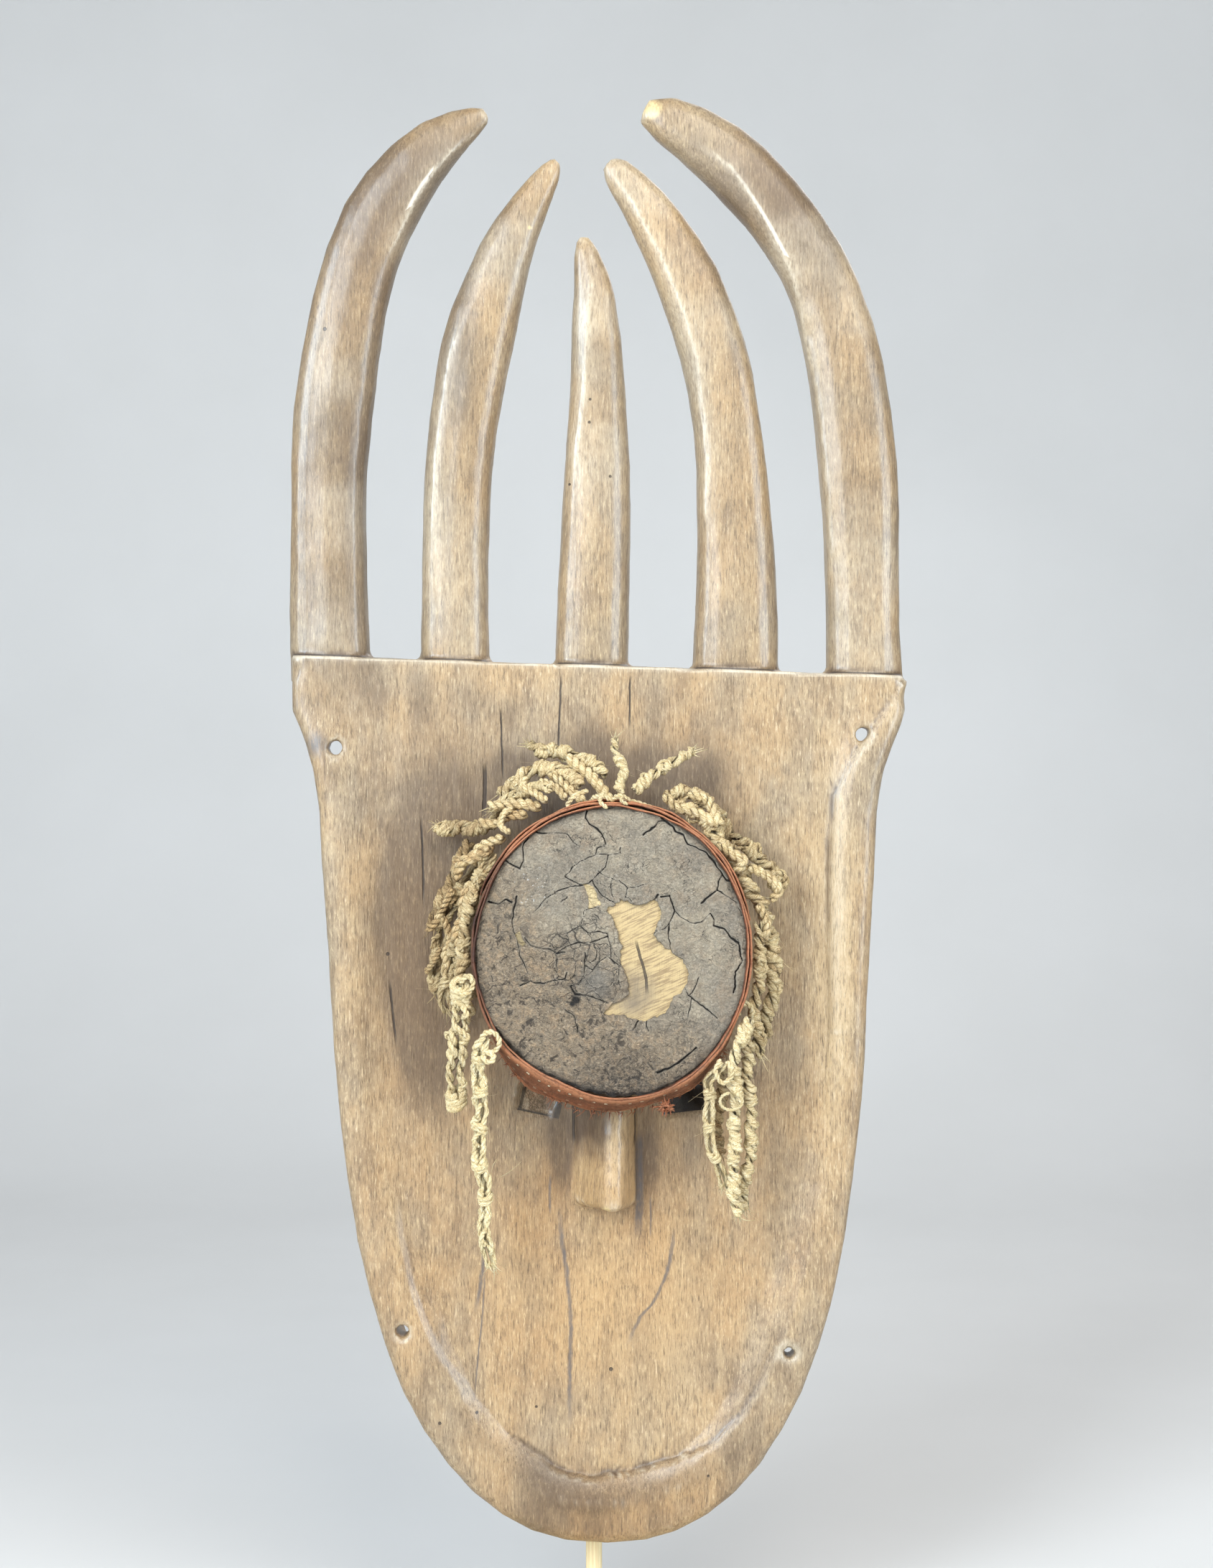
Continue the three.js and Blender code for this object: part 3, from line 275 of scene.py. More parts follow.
# Grey lines down the plate, as the cracks; the first, along the nose's right side, is a painted shadow.
GREY_LINES = [
    ([(24.6, 345), (25, 321), (25.4, 300), (24, 272)], 3.0, 1.8, 2.0),
    ([(-24, 300), (-22.6, 280), (-18.6, 251), (-16.5, 220), (-17.3, 176), (-15.6, 152)], 0.6, 1.8, 3),
    ([(47, 285), (44, 262), (36, 240), (25, 225), (17, 206)], 0.8, 1.4, 3),
    ([(-69, 292), (-70, 262), (-76, 226)], 0.6, 1.8, 3),
    ([(-68.7, 262), (-70.4, 229), (-73.5, 198.4), (-75.7, 172)], 0.05, 0.8),
    ([(32, 302), (32.3, 290), (31.8, 274)], 0.1, 0.9),
    ([(-29, 316), (-29.4, 304), (-29, 288)], 0.1, 1.2),
]

# Worm holes: x, z and radius. Pale chips: x, z, radius and soft edge.
WORM_HOLES = [(-128.3, 448.9, 0.8), (8.1, 195.3, 0.9), (-95.9, 164.6, 0.7), (-73.5, 170.3, 0.6),
    (-166.9, 831, 0.9), (-5.2, 774.2, 0.6), (-17.4, 736.6, 0.5), (7.6, 741, 0.6), (-4.7, 788.3, 0.5),
    (158, 276, 0.6), (-37.5, 172.5, 0.5), (67, 133, 0.5)]
CHIPS = [(33, 965, 3, 5), (-41.5, 893.7, 0.4, 1.6), (5, 297, 1, 2.5)]

# Worn corners, nicks and the lower lips of small holes: x, y, z, radius and depth.
NICKS = [(188, 4, 606, 6, 2.6), (187, 8, 596, 5, 1.6), (139.5, 6, 634, 3.2, 3.4), (-186, 0, 622, 4, 1.5),
    (170, 6, 119, 9, 1), (140, 2, 890, 6, 0.8), (-152, 0, 800, 7, 0.7)]

# The lower left corner of each eye, its tilt in degrees, and whether its floor is painted as lit rather
# than in painted shade.
EYE_CORNERS = [(-49.5, 353.5, -12.4, True), (39.6, 350.5, 6.4, False)]

# Horn tips that are drawn out a little: x and z, and how far out.
HORN_TIPS = [(-69, 964, 1.5, 0.5), (-30, 929, 2.4, 5.6), (-5, 881, -3.6, 5.6), (14, 931, -4.2, 2.2),
    (33, 963, -5.2, 1.8)]

# Broad dark and light areas on the plate and horns: x, z, their half sizes, and how dark each is.
# Most are the wood's own patina; the pale stripe at x 143 is a painted sheen on the right rim, the light
# patch at x 112 is painted light against the boss's shadow, and the dark patches beside the nose and over
# the boss are grime and painted shade together.
TONES = [(-108, 450, 27, 86, 2.3), (-138, 500, 12, 90, 0.35), (0, 600, 150, 16, 0.12), (-48, 553, 46,
    22, 1.1), (55, 553, 32, 18, 0.9), (112, 480, 16, 70, -0.2), (-16, 345, 18, 16, 0.5), (-8, 588, 30,
    14, 0.4), (25, 566, 60, 14, 0.3), (-156, 420, 15, 180, -0.35), (164, 430, 15, 170, 0.1), (143, 460,
    11, 110, -1.2), (-5, 235, 105, 62, -0.5), (0, 106, 130, 26, 0.6), (-96, 205, 40, 60, 0.2), (-150,
    740, 32, 150, 1.0), (-120, 910, 50, 50, 1.0), (70, 880, 24, 70, 0.6), (-60, 890, 24, 46, 0.5), (0,
    790, 16, 80, 0.1), (62, 690, 20, 60, 0.1), (150, 760, 30, 160, 0.45), (-80, 780, 22, 110, 0.5),
    (112, 905, 40, 50, 0.9), (-108, 600, 9, 24, 0.4), (-60, 597, 16, 12, 0.4), (-21, 325, 8, 26, 1.0),
    (32, 322, 7, 28, 0.8), (50, 325, 20, 28, 0.6), (-120, 330, 24, 60, -0.3)]

# Where the wood is redder: x, z, the half sizes, and how much.
WARM = [(-10, 270, 120, 110, 1.1), (-95, 440, 40, 90, 0.9), (0, 100, 110, 30, 0.9), (-130, 900, 50, 50,
    0.5), (100, 900, 50, 50, 0.6), (50, 590, 60, 24, 0.3)]

# A leather strip's cross-section: how far down it from its front lip, and how far out.
LEATHER_OUTLINE = [(0.0, 0.15), (0.02, 0.75), (0.06, 1.0), (0.3, 1.05), (0.55, 0.95), (0.8, 1.05),
    (0.97, 1.0), (1.0, 0.6), (0.97, 0.0), (0.7, 0.0), (0.4, 0.0), (0.05, 0.0)]

# How fine the meshes are: the carving's voxels and faces, the crust's points across and their step,
# the points round a leather strip, and the sides of a yarn and of the dowel.
VOXEL = 2.4
FACES_KEPT = 97500
CRUST_POINTS, CRUST_STEP = ((280, 0.58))
BAND_POINTS = 440
YARN_SIDES = 7
ROD_SIDES = 64

# The crust: how far forward its edge is, how much its middle swells, its back, how far inside the
# patch's edge it is open, and how far behind its front the bare wood lies.
CRUST_EDGE, CRUST_DOME = 62.2, 5.6
CRUST_BACK_Y = -58.6
OPEN = -0.02
PATCH_DEPTH = 1.25

# The half sizes of the leather's inner edge and of the tie, the tie's place, and the leather's knot.
BAND_RX, BAND_RZ = 80.2, 85.7
TIE_RX, TIE_RZ, TIE_Y = 77, 82.4, -33
LEATHER_KNOT = (40, -57, 363)

# Where the nose is, and the dowel's radius and that of its ends.
NOSE_X, NOSE_FOOT_Z, NOSE_TOP_Z = 5, 292, 392
ROD_R, ROD_END_R = 5, 4.6

# Lights: name, place, what each points at, size, power, colour, and whether it shows in gloss alone.
LIGHTS = [
    ("window", (-1.15, -2.0, 1.4), (0, 0, 0.6), (0.9, 1.5), 72, (0.86, 0.94, 1.0), False),
    ("ceiling", (0.75, -1.9, 2.2), (0, 0, 0.5), (1.6, 1.2), 46, (1.0, 0.95, 0.88), False),
    ("right", (1.9, -1.5, 1.0), (0, 0, 0.5), (0.5, 1.2), 16, (0.76, 0.89, 1.0), False),
    ("sheen", (-2.3, -1.2, 1.4), (0, 0, 0.7), (0.9, 1.2), 92, (0.64, 0.83, 1.0), True),
    ("sheen_right", (2.1, -1.4, 0.8), (0, 0, 0.6), (0.8, 1.5), 42, (0.6, 0.8, 1.0), True),
    ("back", (0.9, 1.5, 2.0), (0, 0, 0.6), (1.2, 1.2), 12, (1, 1, 1), False),
]


def unit(v):
    return v / np.maximum(np.linalg.norm(v, axis=-1, keepdims=True), 1e-9)


def smooth(low, high, v):
    t = np.clip((v - low) / (high - low), 0, 1)
    return t * t * (3 - 2 * t)


def bell(v, width):
    return np.exp(-((v / width) ** 2))


def blob(x, z, cx, cz, rx, rz):
    """1 in the middle of a soft oval, falling to 0 round it."""
    return np.exp(-((x - cx) / rx) ** 2 - ((z - cz) / rz) ** 2)


def lattice(i, seed):
    """A fixed random number from 0 to 1 for each whole-numbered point."""
    h = (i @ np.array([374761393, 668265263, 1442695041]) + seed * 974711) & 0xFFFFFFFF
    for shift, factor in ((13, 1274126177), (15, 668265263)):
        h = ((h ^ (h >> shift)) * factor) & 0xFFFFFFFF
    return ((h ^ (h >> 16)) & 0xFFFFFF) / 0xFFFFFF


def noise(p, size, seed=0):
    """Smooth noise from -1 to 1; size is the width of its bumps, one number or one for each axis."""
    q = p / np.asarray(size, float)
    i = np.floor(q).astype(np.int64)
    f = q - i
    f = f * f * (3 - 2 * f)
    total = np.zeros(q.shape[:-1])
    for corner in np.ndindex(2, 2, 2):
        weight = np.prod(np.where(corner, f, 1 - f), axis=-1)
        total += weight * lattice(i + corner, seed)
    return total * 2 - 1


def waves(p, *layers):
    """Noise of several sizes added up: how strong each is, its size and its seed."""
    return sum(strength * noise(p, size, seed) for strength, size, seed in layers)


def flat(x, z):
    return np.stack([x, np.zeros_like(x), z], axis=-1)


def board_top(x):
    return TOP_Z - TOP_FALL * x


def to_lines(x, z, lines):
    """Distance to the nearest of some lines of x, z, w points, with w there and the side it is on."""
    best = np.full(x.shape, 1e9)
    value = np.zeros(x.shape)
    side = np.ones(x.shape)
    for line in lines:
        for (ax, az, aw), (bx, bz, bw) in zip(line, line[1:]):
            dx, dz = bx - ax, bz - az
            t = np.clip(((x - ax) * dx + (z - az) * dz) / (dx * dx + dz * dz), 0, 1)
            gone = np.hypot(x - ax - t * dx, z - az - t * dz)
            near = gone < best
            best = np.where(near, gone, best)
            value = np.where(near, aw + t * (bw - aw), value)
            side = np.where(near, -np.sign(dx * (z - az) - dz * (x - ax)), side)
    return best, value, side


def inside(x, z, shape):
    """Distance to the edge of a closed shape, below zero inside it."""
    ring = [(*p, 0) for p in [*shape, shape[0]]]
    gone = to_lines(x, z, [ring])[0]
    odd = np.zeros(x.shape, bool)
    for (ax, az, _), (bx, bz, _) in zip(ring, ring[1:]):
        if az != bz:
            odd ^= ((az > z) != (bz > z)) & (x < (bx - ax) * (z - az) / (bz - az) + ax)
    return np.where(odd, -gone, gone)


def cells(x, z, size, seed):
    """How far each point is from the borders of irregular cells of one size."""
    ix, iz = (np.floor(v / size).astype(np.int64) for v in (x, z))
    first = np.full(x.shape, 1e9)
    second = np.full(x.shape, 1e9)
    for a, b in np.ndindex(3, 3):
        jx, jz = ix + a - 1, iz + b - 1
        cell = flat(jx, jz)
        gone = np.hypot(x - (jx + lattice(cell, seed)) * size, z - (jz + lattice(cell, seed + 1)) * size)
        second = np.where(gone < first, first, np.minimum(second, gone))
        first = np.minimum(first, gone)
    return (second - first) / 2


def run(path):
    """How far along a path each of its points is."""
    return np.concatenate([[0], np.cumsum(np.linalg.norm(np.diff(path, axis=0), axis=1))])


def line_through(points, step):
    """Points a step apart on a smooth curve through some points, and the curve's length."""
    p = np.array(points, float)
    ends = np.vstack([2 * p[0] - p[1], p, 2 * p[-1] - p[-2]])
    t = np.linspace(0, 1, 16, endpoint=False)[:, None]
    rows = [
        0.5 * (2 * b + (c - a) * t + (2 * a - 5 * b + 4 * c - d) * t**2 + (3 * b - a - 3 * c + d) * t**3)
        for a, b, c, d in zip(ends, ends[1:], ends[2:], ends[3:])
    ]
    dense = np.vstack([*rows, p[-1:]])
    far = run(dense)
    at = np.linspace(0, far[-1], max(3, round(far[-1] / step)) + 1)
    return np.column_stack([np.interp(at, far, dense[:, k]) for k in range(3)]), far[-1]


def frames(path):
    """Unit vectors along a path and across it, carried along it without twist."""
    along = unit(np.gradient(path, axis=0))
    side = np.empty_like(path)
    s = np.array([0.0, -1.0, 0.0])
    for i, t in enumerate(along):
        s = s - t * s.dot(t)
        s = s / max(np.linalg.norm(s), 1e-9)
        side[i] = s
    return along, side, np.cross(along, side)


def spoke(side, other, turn):
    """The direction out from a path at a turn round it."""
    return np.cos(turn)[..., None] * side + np.sin(turn)[..., None] * other


def grid(rows, columns, closed=True, joined=False):
    """Faces over rows and columns of points; closed joins each row's ends, joined the end rows."""
    i = np.arange(rows if joined else rows - 1)[:, None] * columns
    j = np.arange(columns if closed else columns - 1)
    up = (i + columns) % (rows * columns)
    k = (j + 1) % columns
    return np.stack([i + j, i + k, up + k, up + j], -1).reshape(-1, 4)


def tube(path, radius, sides, ridges=0, twist=0.0, tone=0.0, turn0=0.0):
    """A closed tube along a path, with ridges that wind round it as fibres do."""
    along, side, other = frames(path)
    far = run(path)
    radius = np.broadcast_to(np.asarray(radius, float), far.shape)
    turn = np.linspace(0, 2 * math.pi, sides, endpoint=False)
    wound = turn + turn0 + twist * far[:, None]
    r = radius[:, None] * np.ones_like(wound)
    if ridges:
        r = r * (1 + 0.08 * np.cos(ridges * wound) + 0.05 * np.cos((2 * ridges + 1) * wound + 1.0))
    verts = path[:, None] + r[..., None] * spoke(side[:, None], other[:, None], turn)
    strand = np.stack([np.cos(wound) * 1.6, np.sin(wound) * 1.6, np.repeat(far[:, None], sides, 1)], -1)
    strand = strand.reshape(-1, 3) + np.array([0, 0, 37.0 * tone])
    tips = [path[0] - along[0] * radius[0] * 0.5, path[-1] + along[-1] * radius[-1] * 0.5]
    verts = np.vstack([verts.reshape(-1, 3), *tips])
    k = np.arange(sides)
    last = (len(path) - 1) * sides
    caps = np.vstack([np.stack([(k + 1) % sides, k, np.full(sides, len(verts) - 2)], -1),
        np.stack([k + last, (k + 1) % sides + last, np.full(sides, len(verts) - 1)], -1)])
    return {"verts": verts, "faces": grid(len(path), sides).tolist() + caps.tolist(),
        "strand": np.vstack([strand, strand[:1], strand[-1:]]), "tone": np.full(len(verts), tone),
        "cord_shade": np.zeros(len(verts))}


def add_value(mesh, key, values):
    kind, slot = ("FLOAT_VECTOR", "vector") if values.ndim == 2 else ("FLOAT", "value")
    mesh.attributes.new(key, kind, "POINT").data.foreach_set(slot, values.astype(np.float32).ravel())


def declare(obj, material, node=None):
    """Gives a piece its one material, hangs it on the root body, and hides the part it stands in for."""
    obj.data.materials.clear()
    obj.data.materials.append(material)
    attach(obj, "root")
    if node:
        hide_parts(node)


def placed(name, mesh):
    obj = bpy.data.objects.new(name, mesh)
    bpy.context.collection.objects.link(obj)
    return obj


def shade_smooth(mesh):
    mesh.polygons.foreach_set("use_smooth", [True] * len(mesh.polygons))
    mesh.update()


def piece(name, chunks, material, node=None):
    """One mesh object from chunks given in millimetres, with their extra values by vertex."""
    faces, start = [], 0
    for c in chunks:
        faces += [[i + start for i in f] for f in c["faces"]]
        start += len(c["verts"])
    mesh = bpy.data.meshes.new(name)
    mesh.from_pydata((np.vstack([c["verts"] for c in chunks]) * MM).tolist(), [], faces)
    for key in chunks[0]:
        if key not in ("verts", "faces"):
            add_value(mesh, key, np.concatenate([c[key] for c in chunks]))
    shade_smooth(mesh)
    obj = placed(name, mesh)
    declare(obj, material, node)
    return obj


class Shader:
    """A node material, built up by short calls."""

    def __init__(self, name):
        self.material = bpy.data.materials.new(name)
        self.material.use_nodes = True
        self.tree = self.material.node_tree
        self.tree.nodes.clear()
        self.surface = self.tree.nodes.new("ShaderNodeBsdfPrincipled")
        out = self.tree.nodes.new("ShaderNodeOutputMaterial")
        self.tree.links.new(self.surface.outputs[0], out.inputs[0])

    def plug(self, node, inputs):
        """Links or sets a node's inputs."""
        for key, value in inputs.items():
            if isinstance(value, bpy.types.NodeSocket):
                self.tree.links.new(value, node.inputs[key])
            elif value is not None:
                node.inputs[key].default_value = value
        return node

    def node(self, kind, inputs, **settings):
        made = self.tree.nodes.new("ShaderNode" + kind)
        for key, value in settings.items():
            setattr(made, key, value)
        return self.plug(made, inputs)

    def place(self):
        """Where a point is, in millimetres."""
        return self.scaled(self.node("TexCoord", {}).outputs["Object"], (1000, 1000, 1000))

    def scaled(self, vector, by):
        return self.node("VectorMath", {0: vector, 1: by}, operation="MULTIPLY").outputs[0]

    def moved(self, vector, by):
        return self.node("VectorMath", {0: vector, 1: by}, operation="ADD").outputs[0]

    def turned(self, vector, degrees, center=(0, 0, 0)):
        about = {"Vector": vector, "Center": center, "Angle": math.radians(degrees)}
        return self.node("VectorRotate", about, rotation_type="Y_AXIS").outputs[0]

    def axis(self, vector):
        return self.node("SeparateXYZ", {0: vector}).outputs

    def math(self, kind, a, b=None, clamp=False):
        return self.node("Math", {0: a, 1: b}, operation=kind, use_clamp=clamp).outputs[0]

    def times(self, *values):
        return functools.reduce(lambda a, b: self.math("MULTIPLY", a, b), values)

    def largest(self, values):
        return functools.reduce(lambda a, b: self.math("MAXIMUM", a, b), values)

    def add(self, a, b):
        return self.math("ADD", a, b)

    def total(self, *parts):
        """The sum of some values, each times its weight."""
        return functools.reduce(self.add, [self.times(*part) for part in parts])

    def off(self, value, middle):
        """How far a value is from a middle one."""
        return self.math("ABSOLUTE", self.math("SUBTRACT", value, middle))

    def noise(self, vector, scale, detail=2.0, rough=0.5, warp=0.0):
        made = self.node("TexNoise", {"Vector": vector, "Scale": scale, "Detail": detail})
        return self.plug(made, {"Roughness": rough, "Distortion": warp}).outputs["Fac"]

    def span(self, value, low, high, start=0.0, end=1.0):
        """Turns a value between low and high into one between start and end, with soft ends."""
        inputs = {"Value": value, "From Min": low, "From Max": high, "To Min": start, "To Max": end}
        return self.node("MapRange", inputs, interpolation_type="SMOOTHSTEP").outputs[0]

    def mix(self, share, a, b, kind="MIX"):
        a, b = ((*v, 1) if isinstance(v, tuple) else v for v in (a, b))
        return self.node("Mix", {"Factor": share, 6: a, 7: b}, data_type="RGBA", blend_type=kind).outputs[2]

    def layers(self, color, rows):
        """Coats over a colour: a value, its range, the shares there, the paint, and factors."""
        for value, low, high, start, end, paint, *factors in rows:
            color = self.mix(self.times(self.span(value, low, high, start, end), *factors), color, paint)
        return color

    def value(self, name, kind="Fac"):
        return self.node("Attribute", {}, attribute_name=name).outputs[kind]

    def crack(self, where, points, width, soft=0.5, wobble=1.2):
        """A line down a surface through x, z points: 1 on it, and thin at its ends."""
        x, _, z = self.axis(where)[:3]
        xs, zs = zip(*points)
        z0, z1, x0, x1 = min(zs), max(zs), min(xs) - 1, max(xs) + 1
        down = self.node("MapRange", {"Value": z, "From Min": z0, "From Max": z1}).outputs[0]
        bend = self.node("FloatCurve", {"Value": down})
        curve = bend.mapping.curves[0]
        spots = sorted(((q - z0) / (z1 - z0), (p - x0) / (x1 - x0)) for p, q in points)
        curve.points[0].location, curve.points[1].location = spots[0], spots[-1]
        for spot in spots[1:-1]:
            curve.points.new(*spot)
        bend.mapping.update()
        middle = self.node("MapRange", {"Value": bend.outputs[0], "To Min": x0, "To Max": x1}).outputs[0]
        shake = self.times(self.math("SUBTRACT", self.noise(where, 0.12, 3), 0.5), wobble)
        line = self.span(self.off(x, self.add(middle, shake)), width / 2, width / 2 + soft, 1.0, 0.0)
        taper = self.times(self.span(down, 0.0, 0.25), self.span(down, 0.8, 1.0, 1.0, 0.0))
        ends = self.times(self.math("GREATER_THAN", z, z0), self.math("LESS_THAN", z, z1))
        return self.times(line, taper, ends)

    def cracks(self, where, rows):
        return self.largest([self.crack(where, *row) for row in rows])

    def spot(self, where, x, z, radius, soft=0.4):
        """1 within a radius of the line through x, z from front to back."""
        gone = self.node("VectorMath", {0: self.scaled(where, (1, 0, 1)), 1: (x, 0, z)},
            operation="DISTANCE").outputs["Value"]
        return self.span(gone, radius, radius + soft, 1.0, 0.0)

    def spots(self, where, rows):
        return self.largest([self.spot(where, *row) for row in rows])

    def finish(self, color, roughness, height=None, deep=0.0, **fixed):
        """Sets the surface's colour, roughness and fine relief, and what is the same all over it."""
        self.plug(self.surface, {"Base Color": color, "Roughness": roughness})
        if height is not None:
            bump = self.node("Bump", {"Height": height, "Distance": deep, "Strength": 1.0})
            self.plug(self.surface, {"Normal": bump.outputs[0]})
        self.plug(self.surface, {key.replace("_", " "): value for key, value in fixed.items()})
        return self.material


def weathered_wood():
    """Old pale wood: grey-brown patina over honey wood, with fibres, flecks, cracks and worm holes, and
    painted light and shade.
    """
    s = Shader("weathered_wood")
    p = s.place()
    x, y, z = s.axis(p)[:3]
    grime_and_shade, wear_and_sheen, tone, bare, horn = (s.value(k) for k in ("grime_and_shade", "wear_and_sheen", "shade", "bare", "horn"))

    # Patterns drawn out along the grain: how far, then scale, detail and roughness
    patterns = [(0.1, 1.15, 4, 0.68), (0.06, 0.2, 3, 0.6), (0.6, 0.022, 4, 0.6), (0.55, 0.11, 5, 0.72),
        (0.22, 0.75, 3, 0.7)]
    fibre, streak, blotch, rub, fleck = (s.noise(s.scaled(p, (1, 1, k)), *rest) for k, *rest in patterns)
    stain = s.noise(s.scaled(s.moved(p, (70, 0, 30)), (1, 1, 0.45)), 0.055, 4, 0.62)
    quiet = s.span(tone, -0.3, 0.9, 1, 0.3)
    color = s.mix(s.span(blotch, 0.38, 0.64), (0.45, 0.315, 0.175), (0.36, 0.285, 0.195))
    color = s.layers(color, [
        (stain, 0.46, 0.7, 0, 0.6, (0.23, 0.16, 0.095)),
        (tone, 0, 1, 0, 0.86, (0.14, 0.1, 0.066)),
        (tone, -1, 0, 0.75, 0, (0.56, 0.42, 0.245)),
        (rub, 0.46, 0.68, 0, 0.45, (0.56, 0.44, 0.275), quiet),
        (rub, 0.3, 0.46, 0.4, 0, (0.19, 0.135, 0.085)),
        (streak, 0.54, 0.7, 0, 0.4, (0.2, 0.14, 0.085)),
        (fleck, 0.54, 0.68, 0, 0.6, (0.66, 0.54, 0.36), quiet),
        (fleck, 0.32, 0.46, 0.5, 0, (0.13, 0.09, 0.058)),
        (fibre, 0.52, 0.68, 0, 0.65, (0.1, 0.068, 0.042)),
        (fibre, 0.28, 0.42, 0.75, 0, (0.76, 0.64, 0.46), quiet),
    ])
    color = s.mix(1.0, color, (1.0, 0.965, 0.915), "MULTIPLY")
    for share, tint in ((s.value("warm"), (0.95, 0.84, 0.7)), (horn, (0.84, 0.82, 0.78))):
        color = s.mix(share, color, s.mix(1.0, color, tint, "MULTIPLY"))
    # Worn places and painted sheen go paler; dirt and painted shade go dark brown
    color = s.layers(color, [
        (fleck, 0.3, 0.6, 0.45, 1, (0.7, 0.62, 0.48), wear_and_sheen, 0.6),
        (stain, 0.3, 0.65, 0.6, 1, (0.07, 0.036, 0.016), grime_and_shade, 0.85),
    ])

    # Bare wood under the flaked crust: pale, with slanting scratches and a brown stain
    hatch = s.noise(s.scaled(s.turned(p, 24), (0.09, 1, 1)), 1.1, 3, 0.6)
    pale = s.mix(s.span(hatch, 0.44, 0.62, 0, 0.8), (0.53, 0.395, 0.2), (0.24, 0.16, 0.08))
    pale = s.layers(pale, [(stain, 0.3, 0.6, 0.3, 0.9, (0.2, 0.155, 0.105), s.spot(p, 19, 432, 6, 14))])
    color = s.mix(bare, color, pale)

    # Grey stains with a painted shadow along the nose's right side, and pale chips; the horn crests painted
    # pale as wear and sheen; the board's top edge pale as wear and painted highlight, and the joint above
    # it dark as painted shade
    onplate = s.math("GREATER_THAN", y, -16.0)
    greys = s.times(s.cracks(p, GREY_LINES), onplate)
    crests = s.cracks(p, [(line, 0.7, 1.5, 0.8) for line in HORN_CRESTS])
    above = s.math("SUBTRACT", s.add(z, s.times(x, TOP_FALL)), TOP_Z)
    facing = s.math("LESS_THAN", y, 8.0)
    lip = s.span(s.off(above, -1.0), 0.4, 1.2, 0.6, 0)
    joint = s.span(s.off(above, 0.5), 0.25, 0.8, 0.85, 0)
    color = s.layers(color, [
        (fleck, 0.3, 0.6, 0.4, 0.9, (0.72, 0.56, 0.28), s.spots(p, CHIPS)),
        (fleck, 0.35, 0.6, 0.5, 0.9, (0.12, 0.1, 0.092), greys),
    ])
    color = s.mix(s.times(crests, 0.6, s.math("LESS_THAN", y, 0.0)), color, (0.8, 0.74, 0.66))
    color = s.layers(color, [(stain, 0.4, 0.6, 0.3, 1, (0.78, 0.7, 0.56), lip, facing)])
    color = s.mix(s.times(joint, facing), color, (0.05, 0.035, 0.025))
    color = s.layers(color, [(fleck, 0.35, 0.6, 0.4, 0.8, (0.12, 0.115, 0.12), s.spot(p, -172, 577, 2, 9))])

    # Cracks and worm holes
    cracked = s.times(s.cracks(p, WOOD_CRACKS), onplate)
    split = s.times(s.crack(p, *PATCH_CRACK), s.math("LESS_THAN", y, -50.0))
    black = s.largest([cracked, s.spots(p, WORM_HOLES), split])
    color = s.mix(s.times(black, 0.85), color, (0.04, 0.025, 0.016))

    # The eye holes: dark walls and sills as painted shade, one floor painted as lit and the other in deep
    # painted shade
    for x0, z0, tilt, lit in EYE_CORNERS:
        along, _, up = s.axis(s.moved(s.turned(p, tilt, (x0, 0, z0)), (-x0, 0, -z0)))[:3]
        within = s.times(s.span(along, 0, 0.5), s.span(along, 26, 26.5, 1.0, 0.0),
            s.span(up, 24.5, 25, 1.0, 0.0), s.math("LESS_THAN", y, 12.5), s.span(up, 0, 0.5), onplate)
        fill = s.mix(s.span(along, 0, 24), (0.44, 0.3, 0.18), (0.3, 0.2, 0.12))
        fill = s.layers(fill, [
            (fleck, 0.42, 0.6, 0.75, 0, (0.1, 0.06, 0.03)),
            (rub, 0.52, 0.64, 0, 0.7, (0.62, 0.5, 0.34)),
        ])
        walls = [s.span(s.off(along, 1.7), 0.6, 1.5, 0.85, 0.0), s.span(along, 21.5, 23, 0.0, 0.9)]
        sill = s.times(s.span(up, 0.9, 1.8, 0.95, 0.0), s.span(along, 16, 24, 1.0, 0.5))
        fill = s.mix(s.largest([*walls, sill]), fill, (0.035, 0.028, 0.022))
        if not lit:
            fill = s.mix(s.times(s.span(along, 4, 8), s.span(along, 10, 14, 0.5, 0.0)),
                (0.012, 0.009, 0.007), (0.1, 0.085, 0.07))
        color = s.mix(s.times(within, 0.88 if lit else 0.96), color, fill)

    rough = s.total((s.span(fibre, 0.3, 0.7, 0.5, 0.72),), (s.largest([horn, wear_and_sheen]), -0.14))
    tall = s.total((fibre, -1.0), (fleck, 0.5), (streak, -1.2), (black, -2.5))
    return s.finish(color, rough, s.times(tall, s.span(horn, 0, 1, 1.0, 0.45)), 0.0008,
        Specular_IOR_Level=0.3, Coat_Weight=0.5, Coat_Roughness=0.3)


